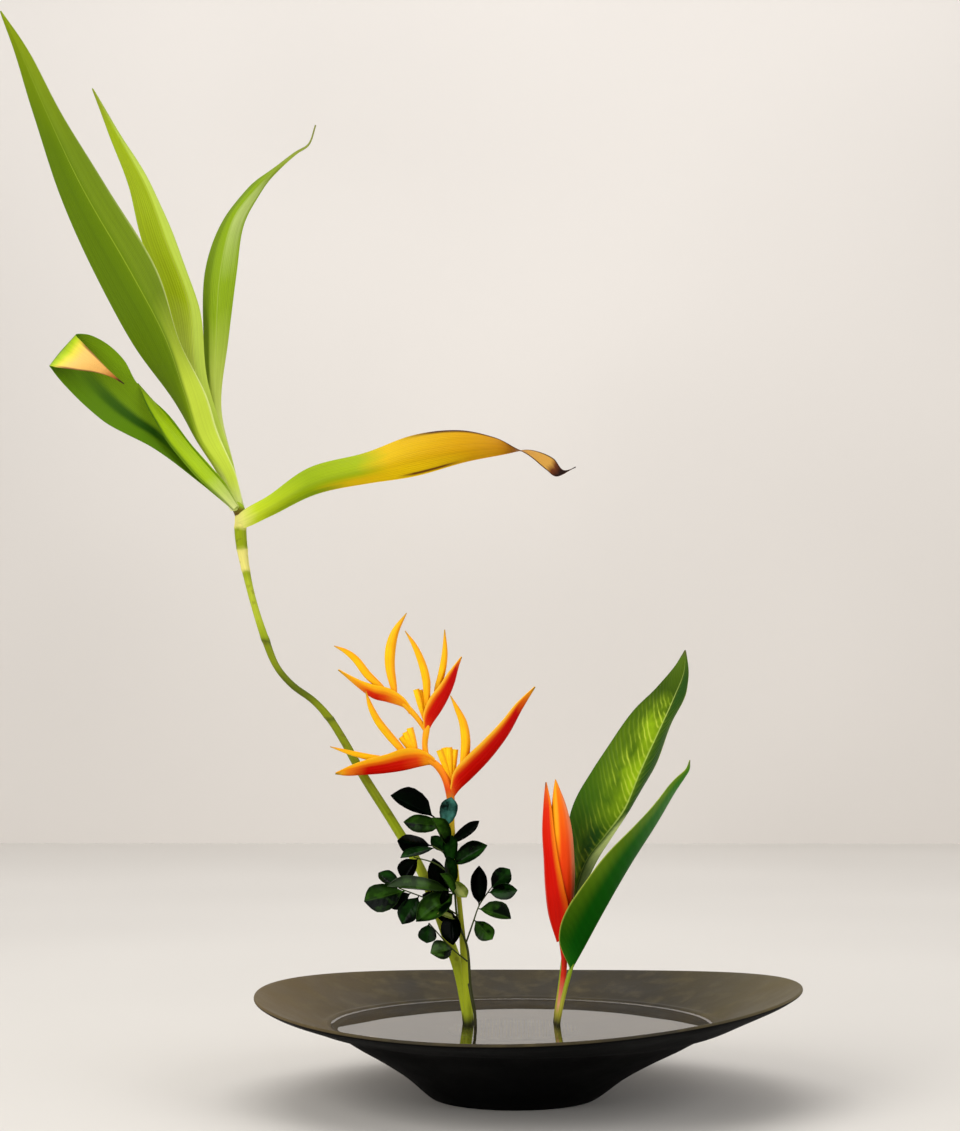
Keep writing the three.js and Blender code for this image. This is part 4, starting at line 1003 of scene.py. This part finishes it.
def makeSpray():
    stem = stalk("sprayStem", spray["stem"], around=18, along=130)
    branch = stalk("sprayBranch", spray["branch"], around=14, along=20)
    look = stemLook("flowerStalk", spray["stem"][0][2], spray["colourTop"], spray["colours"])
    settle(join([stem, branch], "sprayStem"), look, "flower_stalk", "flower_stem")
    skins = {
        "right": bractLook("waxyRedBract", redBract),
        "left": bractLook("waxyOrangeBract", orangeBasedBract),
        "top_left": bractLook("waxySmallBract", smallBract),
    }
    for name, stations in bracts.items():
        skin = skins.get(name.removeprefix("bract_"), skins["right"])
        settle(blade(name + "Shell", stations, **bractBuild), skin, "bract", name)
    flowerSkin = petalLook("waxyGoldenPetal", flowerStops)
    for name, line in longFlowers.items():
        settle(stalk(name + "Tube", line, **longFlowerBuild), flowerSkin, "flower", name)
    youngSkin = petalLook("waxyYoungPetal", youngStops)
    for name, (foot, tips) in flowerFans.items():
        tubes = []
        for tip in tips:
            middle = [(a + b) / 2 for a, b in zip(foot, tip)]
            tubes.append(stalk(name, [foot, middle[:3] + [tip[3]], tip], **youngFlowerBuild))
        settle(join(tubes, name + "Tubes"), youngSkin, "flower", name)
    print("flower spray made")


# bud

bud = {
    "stem": [
        [29.5, 1, 31.5, 1.9], [30.5, 1, 50, 1.9], [33, 1, 65, 1.9], [35.5, 1, 84, 2], [36.5, 1, 96, 2.1],
        [34.5, 1, 113, 2.1],
    ],
    # the first two colours, below the water line, are painted shade
    "stemColours": [(0.0, "#1e1c0c"), (0.26, "#3a3418"), (0.34, "#a49c38"), (0.42, "#dca078"),
                    (0.55, "#e07058"), (0.68, "#e03018"), (1.0, "#d01c10")],
    "outer": [
        [[35, -2.6, 113], [31.5, 1, 110.5], [35, 4.4, 113]],
        [[39.5, -4.4, 134], [25.5, 1, 130], [38, 8.5, 134]],
        [[36.3, -6.3, 151], [23, 1, 150], [36, 9.8, 151]],
        [[32.2, -6.4, 171], [22, 1, 171], [34, 9.8, 171]],
        [[29.3, -4.8, 191], [21, 1, 191], [30, 8, 191]],
        [[26.9, -2.4, 211], [22, 1, 211], [27, 5, 211]],
        [[23.8, 0.6, 226], [23.4, 1, 226], [23.8, 1.4, 226]],
    ],
    "outerPaint": {
        "along": [(0.0, "#e41808"), (0.5, "#e01000"), (0.8, "#e62a08"), (0.94, "#e8641c"), (1.0, "#6a5a3c")],
        "bands": [
            # painted highlight along the keel, the bract's left outline
            (0.5, (0.0, 0.12), [(0.1, 0.4), (0.4, 1.0), (0.9, 0.8)], "#f08c78"),
            (0.0, (0.02, 0.12), [(0.15, 0.2), (0.45, 1.0), (1.0, 1.0)], "#f88010"),
            (1.0, (0.02, 0.12), [(0.15, 0.2), (0.45, 1.0), (1.0, 1.0)], "#f88010"),
        ],
    },
    "core": [
        [34.5, 1, 111.5, 1.9], [35.8, 1, 124, 3.9], [36.6, 1, 140, 6.6], [35.9, 1, 158, 8.5],
        [35.3, 1, 175, 8.5], [34.4, 1, 192, 7.8], [32.8, 1, 209, 5.3], [31.2, 1, 221, 2.4],
        [30.4, 1, 228, 0.4],
    ],
    "outerBuild": {"thickness": 0.9, "across": 24, "along": 80, "crease": 1.8},
    "coreBuild": {"around": 32, "along": 80, "flat": 0.78},
    "corePaint": {
        "along": [(0.0, "#e41c08"), (0.3, "#f03408"), (0.55, "#f64c10"), (0.8, "#f87810"), (0.95, "#f89a1c"),
                  (1.0, "#c8902c")],
        "bands": [
            (0.39, (0.05, 0.11), [(0.46, 0.0), (0.6, 1.0), (0.88, 1.0), (1.0, 0.4)], "#ffac14"),
            # painted light: a paler band down the core's shaded right side
            (0.72, (0.04, 0.14), [(0.3, 0.4), (0.45, 0.9), (0.75, 0.8), (0.9, 0.0)], "#ff9468"),
        ],
    },
}


def makeBud():
    stem = stalk("budStem", bud["stem"], around=18, along=60)
    look = stemLook("budStalk", bud["stem"][0][2], bud["stem"][-1][2], bud["stemColours"])
    settle(stem, look, "flower_stalk", "bud_stem")
    outer = blade("budOuterShell", bud["outer"], **bud["outerBuild"])
    settle(outer, bractLook("waxyBudBract", bud["outerPaint"]), "bud", "bud_outer_bract")
    core = stalk("budRolledCore", bud["core"], **bud["coreBuild"])
    settle(core, bractLook("waxyBudCore", bud["corePaint"]), "bud", "bud_core")
    print("bud made")


# the two broad leaves

# the first two colours, below the water line, are painted shade
petioleColours = [(0.0, "#1e1e0c"), (0.24, "#34341a"), (0.32, "#9c9632"), (0.4, "#b0ac3c"),
                  (0.6, "#8fa424"), (1.0, "#3f7a10")]
petioleColourTop = 120  # the height of the last colour
broadBuild = {"thickness": 0.5, "across": 28, "along": 120, "crease": 1.5, "waves": (0.8, 4)}
broadLeaves = {
    "broad_leaf_front": {
        "skin": "satinFrontLeaf",
        "petiole": [
            [31.5, -7, 31.5, 1.4], [32, -7, 52, 1.4], [35.2, -7, 70, 1.5], [40.5, -7, 90, 1.5],
            [43.2, -6, 97, 0.7],
        ],
        "stations": [
            [[40.2, -8.5, 93], [41.2, -6.5, 91], [42.2, -6, 92.5]],
            [[32.5, -14, 113.5], [49, -5, 104.5], [46, 8, 111.5]],
            [[37.5, -21, 135], [64, -4, 131.5], [55, 16, 136.5]],
            [[57, -25, 164], [85, -4, 167.5], [68, 18, 164.5]],
            [[82, -25, 191.5], [103.5, -5, 196.5], [89, 13, 192.5]],
            [[106.5, -20, 218], [117, -6, 219.5], [110.5, 6, 218]],
            [[118.5, -13, 231], [123.5, -8, 229.5], [121.5, -3, 231]],
            [[124.8, -11, 237], [127, -9.5, 235.8], [126, -8, 237]],
            [[127, -10.4, 242.5], [127.3, -10, 242.3], [127.5, -9.6, 242]],
        ],
        "paint": {
            "along": [(0.0, "#1c6a0c"), (0.15, "#0a5204"), (0.4, "#105a04"), (0.65, "#2c740c"),
                      (0.88, "#438014"), (0.95, "#6a7a30"), (1.0, "#5a4a24")],
            "bands": [
                (0.0, (0.04, 0.26), [(0.15, 0.1), (0.4, 0.8), (0.85, 0.9)], "#6f8f14"),
                (0.0, (0.0, 0.02), evenly, "#a8b848"), (1.0, (0.0, 0.02), evenly, "#a8b848"),
                (0.5, (0.0, 0.02), faintly, "#8fa83c"),
            ],
            "glow": "#2f6a10", "litAlong": [(0.3, 0.0), (0.6, 0.5), (0.9, 0.5)],
            "litAcross": [(0.0, 1.0), (0.5, 0.2)],
            "slant": 0.1, "veins": 38, "veinColour": "#2f6a10", "roughness": 0.4, "relief": 0.06,
        },
    },
    "broad_leaf_back": {
        "skin": "satinBackLeaf",
        "petiole": [
            [29, 10, 31.5, 1.5], [30, 10, 52, 1.5], [34, 12, 80, 1.6], [38, 15, 110, 1.6],
            [44, 19.5, 140, 1.1],
        ],
        "stations": [
            [[38.5, 18, 126], [39.8, 16.8, 125.5], [41, 18, 126]],
            [[36.5, 27, 163], [52.5, 21, 166.5], [61, 28, 166]],
            [[43, 31, 205.5], [67, 26, 185.5], [72.5, 36, 185]],
            [[58, 36, 233], [81.5, 30, 204.5], [88, 44, 208]],
            [[71.5, 40, 253], [94, 35, 233], [106, 49, 238.5]],
            [[90.5, 44, 279], [108.5, 40, 263.5], [119.5, 51, 269.5]],
            [[107, 47, 295], [120, 45, 288], [129, 52, 291]],
            [[120.5, 50, 310.5], [127.5, 49, 306.5], [131.5, 52, 303.5]],
            [[128.5, 52, 323], [129, 52, 323.2], [129.5, 52, 322.8]],
        ],
        "paint": {
            "along": [(0.0, "#123c06"), (0.16, "#1c4a08"), (0.3, "#386004"), (0.5, "#4c6c02"),
                      (0.75, "#365002"), (0.95, "#4f6a08"), (1.0, "#5a5a2c")],
            "bands": [
                # painted shadow of the bud on the lower blade
                (0.36, (0.05, 0.2), [(0.06, 0.0), (0.14, 0.9), (0.22, 0.5), (0.28, 0.0)], "#0d3a08"),
                (0.8, (0.18, 0.3), [(0.2, 0.0), (0.36, 1.0), (0.85, 0.8), (1.0, 0.0)], "#22500a"),
                # painted light: a pale strip on the curled margin, lit through, with a painted highlight
                (0.76, (0.12, 0.26), [(0.1, 0.3), (0.18, 1.0), (0.3, 1.0), (0.37, 0.0)], "#dcec90"),
                (1.0, (0.01, 0.06), [(0.3, 0.9), (0.6, 0.9), (0.9, 0.3)], "#a8b85c"),
                (0.5, (0.004, 0.022), [(0.2, 0.3), (0.36, 1.0), (0.7, 0.9), (0.9, 0.3)], "#b0c460"),
            ],
            "glow": "#9cc010",
            "litAlong": [(0.12, 0.25), (0.32, 0.35), (0.45, 1.0), (0.66, 1.0), (0.77, 0.0)],
            "litAcross": [(0.0, 0.0), (0.14, 0.2), (0.26, 1.0), (0.47, 1.0), (0.52, 0.1)],
            "slant": 0.11, "veins": 44, "veinColour": "#b4c83c", "roughness": 0.45, "relief": 0.12,
        },
    },
}


def makeBroadLeaves():
    for name, leaf in broadLeaves.items():
        surface = blade(name + "Blade", leaf["stations"], **broadBuild)
        surface.data.materials.append(broadLeafLook(leaf["skin"], leaf["paint"]))
        petiole = leaf["petiole"]
        stem = stalk(name + "Stalk", petiole, around=14, along=60)
        look = stemLook(leaf["skin"] + "Stalk", petiole[0][2], petioleColourTop, petioleColours)
        stem.data.materials.append(look)
        settle(join([surface, stem], name + "Whole"), None, "broad_leaf", name)
    print("broad leaves made")


# glossy sprig

twigs = {
    "main": [
        [-27.5, -11.5, 31.5, 1.2], [-28, -11.5, 60, 1.1], [-31.2, -11.5, 80, 1], [-33.6, -11.5, 108, 0.9],
        [-40.5, -11.5, 128, 0.8], [-43, -11.5, 152, 0.8], [-46.5, -11.5, 175, 0.8], [-50, -12, 193, 0.7],
        [-57, -14, 201, 0.5],
    ],
    "lowLeft": [[-33.5, -11.5, 98, 0.6], [-45, -15, 108, 0.5], [-61, -19, 126, 0.45]],
    "middleLeft": [[-40, -11.5, 131, 0.6], [-55, -16, 140, 0.5], [-82, -22, 151, 0.45]],
    "upperLeft": [[-43.5, -11.5, 158, 0.6], [-56, -15, 168, 0.5], [-72, -18, 173, 0.45]],
    "topLeft": [[-45.5, -11.5, 170, 0.5], [-52, -14, 177, 0.45], [-59, -15, 181, 0.45]],
    "right": [[-34.5, -11.5, 111, 0.7], [-29, -13, 127, 0.6], [-25, -14, 138, 0.5], [-17, -15, 150, 0.45]],
    "cutShoot": [[-32.5, -11.5, 82, 0.9], [-30.5, -15, 72, 0.9], [-28.5, -16, 62, 0.9]],
}
# the first two colours, below the water line, are painted shade
twigColours = [(0.0, "#14140a"), (0.12, "#34321a"), (0.6, "#3f4a1c"), (1.0, "#4a5a24")]
twigHeights = (31, 201)  # of the first and the last colour

# The twig that bears each leaflet, where along it, its tip, its width, its turn in degrees, its look.
leaflets = [
    ["main", 1, [-88, -15, 218.5], 19, 10, "black"],
    ["main", 0.87, [-45, -21, 216.5], 13, 15, "blue"],
    ["main", 0.9, [-78.5, -25, 198.5], 13, -30, "green"],
    ["main", 0.78, [-57, -29, 201.5], 13.5, 20, "green"],
    ["main", 0.7, [-46, -18, 189.5], 12, 20, "dark"],
    ["main", 0.79, [-25, -8, 198.5], 8, 20, "black"],
    ["main", 0.7, [-20, -16, 182], 14.5, 0, "dark"],
    ["topLeft", 1, [-84, -15, 183.5], 18, 10, "black"],
    ["topLeft", 0.8, [-81, -28, 174], 11, 25, "dark"],
    ["upperLeft", 0.9, [-80, -20, 157], 15, 10, "black"],
    ["middleLeft", 0.3, [-58.5, -9, 171.5], 14, 0, "black"],
    ["main", 0.62, [-47.5, -25, 174], 11, 20, "dark"],
    ["main", 0.58, [-51, -29, 162], 10, 30, "green"],
    ["main", 0.65, [-34, -18, 144], 9.5, 0, "olive"],
    ["middleLeft", 1, [-97, -17, 162.5], 13, 20, "dark"],
    ["main", 0.6, [-89, -40, 155.5], 14.5, 20, "lit"],
    ["middleLeft", 0.92, [-107, -31, 142], 21, -15, "green"],
    ["middleLeft", 0.75, [-80, -27, 126.5], 15.5, 0, "dark"],
    ["main", 0.6, [-69, -31, 129.5], 18.5, -10, "green"],
    ["middleLeft", 0.22, [-51, -23, 149.5], 10, 20, "black"],
    ["main", 0.5, [-54, -28, 134], 7.5, 20, "olive"],
    ["middleLeft", 0.16, [-44, -23, 111.5], 15, 10, "black"],
    ["lowLeft", 1, [-62.5, -23, 112], 13.5, -10, "dark"],
    ["lowLeft", 0.45, [-59, -24, 106], 16, 0, "lit"],
    ["right", 0.66, [-25, -20, 166.5], 12, 0, "black"],
    ["right", 1, [-3, -12, 164], 14, 25, "dark"],
    ["right", 0.93, [2, -24, 149.8], 12, 35, "dark"],
    ["right", 0.6, [-2, -18, 130.5], 15, -10, "green"],
    ["right", 0.36, [-15.5, -18, 114], 14, 0, "green"],
]
innerLeaflets = [  # smaller ones inside the sprig, the same way
    ["middleLeft", 0.3, [-66, -8, 146], 11, 0, "black"],
    ["main", 0.46, [-56, -7, 135], 10, -10, "black"],
    ["main", 0.76, [-60, -9, 187], 10, 0, "dark"],
    ["middleLeft", 0.85, [-89, -18, 137], 12, 0, "black"],
]
leafletHalves = [  # share of the length, half width of a leaflet one wide
    (0, 0.02), (0.09, 0.03), (0.16, 0.15), (0.28, 0.35), (0.46, 0.47), (0.64, 0.5), (0.78, 0.45),
    (0.88, 0.31), (0.94, 0.17), (0.98, 0.07), (1, 0.01),
]
leafletKinds = {"leafletPlain": (0.35, 0.1), "leafletFolded": (0.8, 0.16), "leafletFlat": (-0.2, -0.08)}
leafletFacing = Vector((0, -0.85, 0.52))  # forwards and up
leafletThickness = 0.4
# darker and lighter copies of one leaflet, from black to lit: painted shade and painted light; the bluish one
# carries a painted highlight
leafletLooks = {  # dark, lit, midrib, wax
    "black": ("#000000", "#020802", "#04140a", 0.02),
    "dark": ("#000300", "#14380a", "#1c3c14", 0.05),
    "blue": ("#02140f", "#48887a", "#4c8068", 0.16),
    "green": ("#020a02", "#325a14", "#466826", 0.06),
    "lit": ("#030a02", "#3e6020", "#4c6c30", 0.09),
    "olive": ("#56661c", "#98a050", "#a4ac60", 0.08),
}


def leafletMaster(name, cup, droop):
    # one leaflet, as long and as wide as 1 m: obovate with a short point, cupped, its tip drooping
    shares, halves = zip(*leafletHalves)

    def place(x, t):
        half = float(np.interp(t, shares, halves))
        u = 2 * x - 1
        ripple = 0.02 * math.sin(9 * t) * abs(u)
        return Vector((u * half, t, cup * half * abs(u) ** 1.4 - droop * t * t + ripple)) / mm

    return grid(name, across=10, along=26, place=place)


def placeLeaflet(master, name, twig, at, tip, width, turn, look):
    path = twigs[twig]
    root, end = Vector(bend(path, at)[:3]), Vector(tip)
    along = (end - root).normalized()
    over = along.cross(leafletFacing).normalized()
    over.rotate(Quaternion(along, math.radians(turn)))
    out = over.cross(along)
    length = (end - root).length
    obj = master.copy()
    obj.data = master.data.copy()
    obj.name = obj.data.name = name
    bpy.context.collection.objects.link(obj)
    columns = Matrix((over * width, along * length, out * width)).transposed().to_4x4()
    obj.data.transform(Matrix.Translation(root * mm) @ Matrix.Scale(mm, 4) @ columns)
    obj.data.materials.append(look)
    thicken(obj, leafletThickness * mm)
    smooth(obj, 50)
    return obj


def makeSprig():
    parts = [stalk("twig_" + name, line, around=10, along=12 * (len(line) - 1))
             for name, line in twigs.items()]
    look = stemLook("barkyTwig", *twigHeights, twigColours, roughness=0.6)
    settle(join(parts, "sprigTwigs"), look, "twig", "sprig_twigs")
    looks = {key: leafletLook("waxedLeaflet" + key.capitalize(), *values)
             for key, values in leafletLooks.items()}
    masters = [leafletMaster(name, *kind) for name, kind in leafletKinds.items()]
    for number, (*spot, key) in enumerate(leaflets, 1):
        obj = placeLeaflet(masters[number % 3], f"leafletBlade{number:02d}", *spot, looks[key])
        settle(obj, None, "glossy_leaflet", f"leaflet_{number:02d}")
    inner = [placeLeaflet(masters[number % 3], "innerLeaflet", *spot, looks[key])
             for number, (*spot, key) in enumerate(innerLeaflets)]
    settle(join(inner, "innerLeaflets"), None, "glossy_leaflet")
    for master in masters:
        bpy.data.objects.remove(master)
    print("sprig made")


makeStage()
makeBowl()
makeWater()
makeHolder()
makeCane()
makeSpray()
makeBud()
makeBroadLeaves()
makeSprig()

deselect()
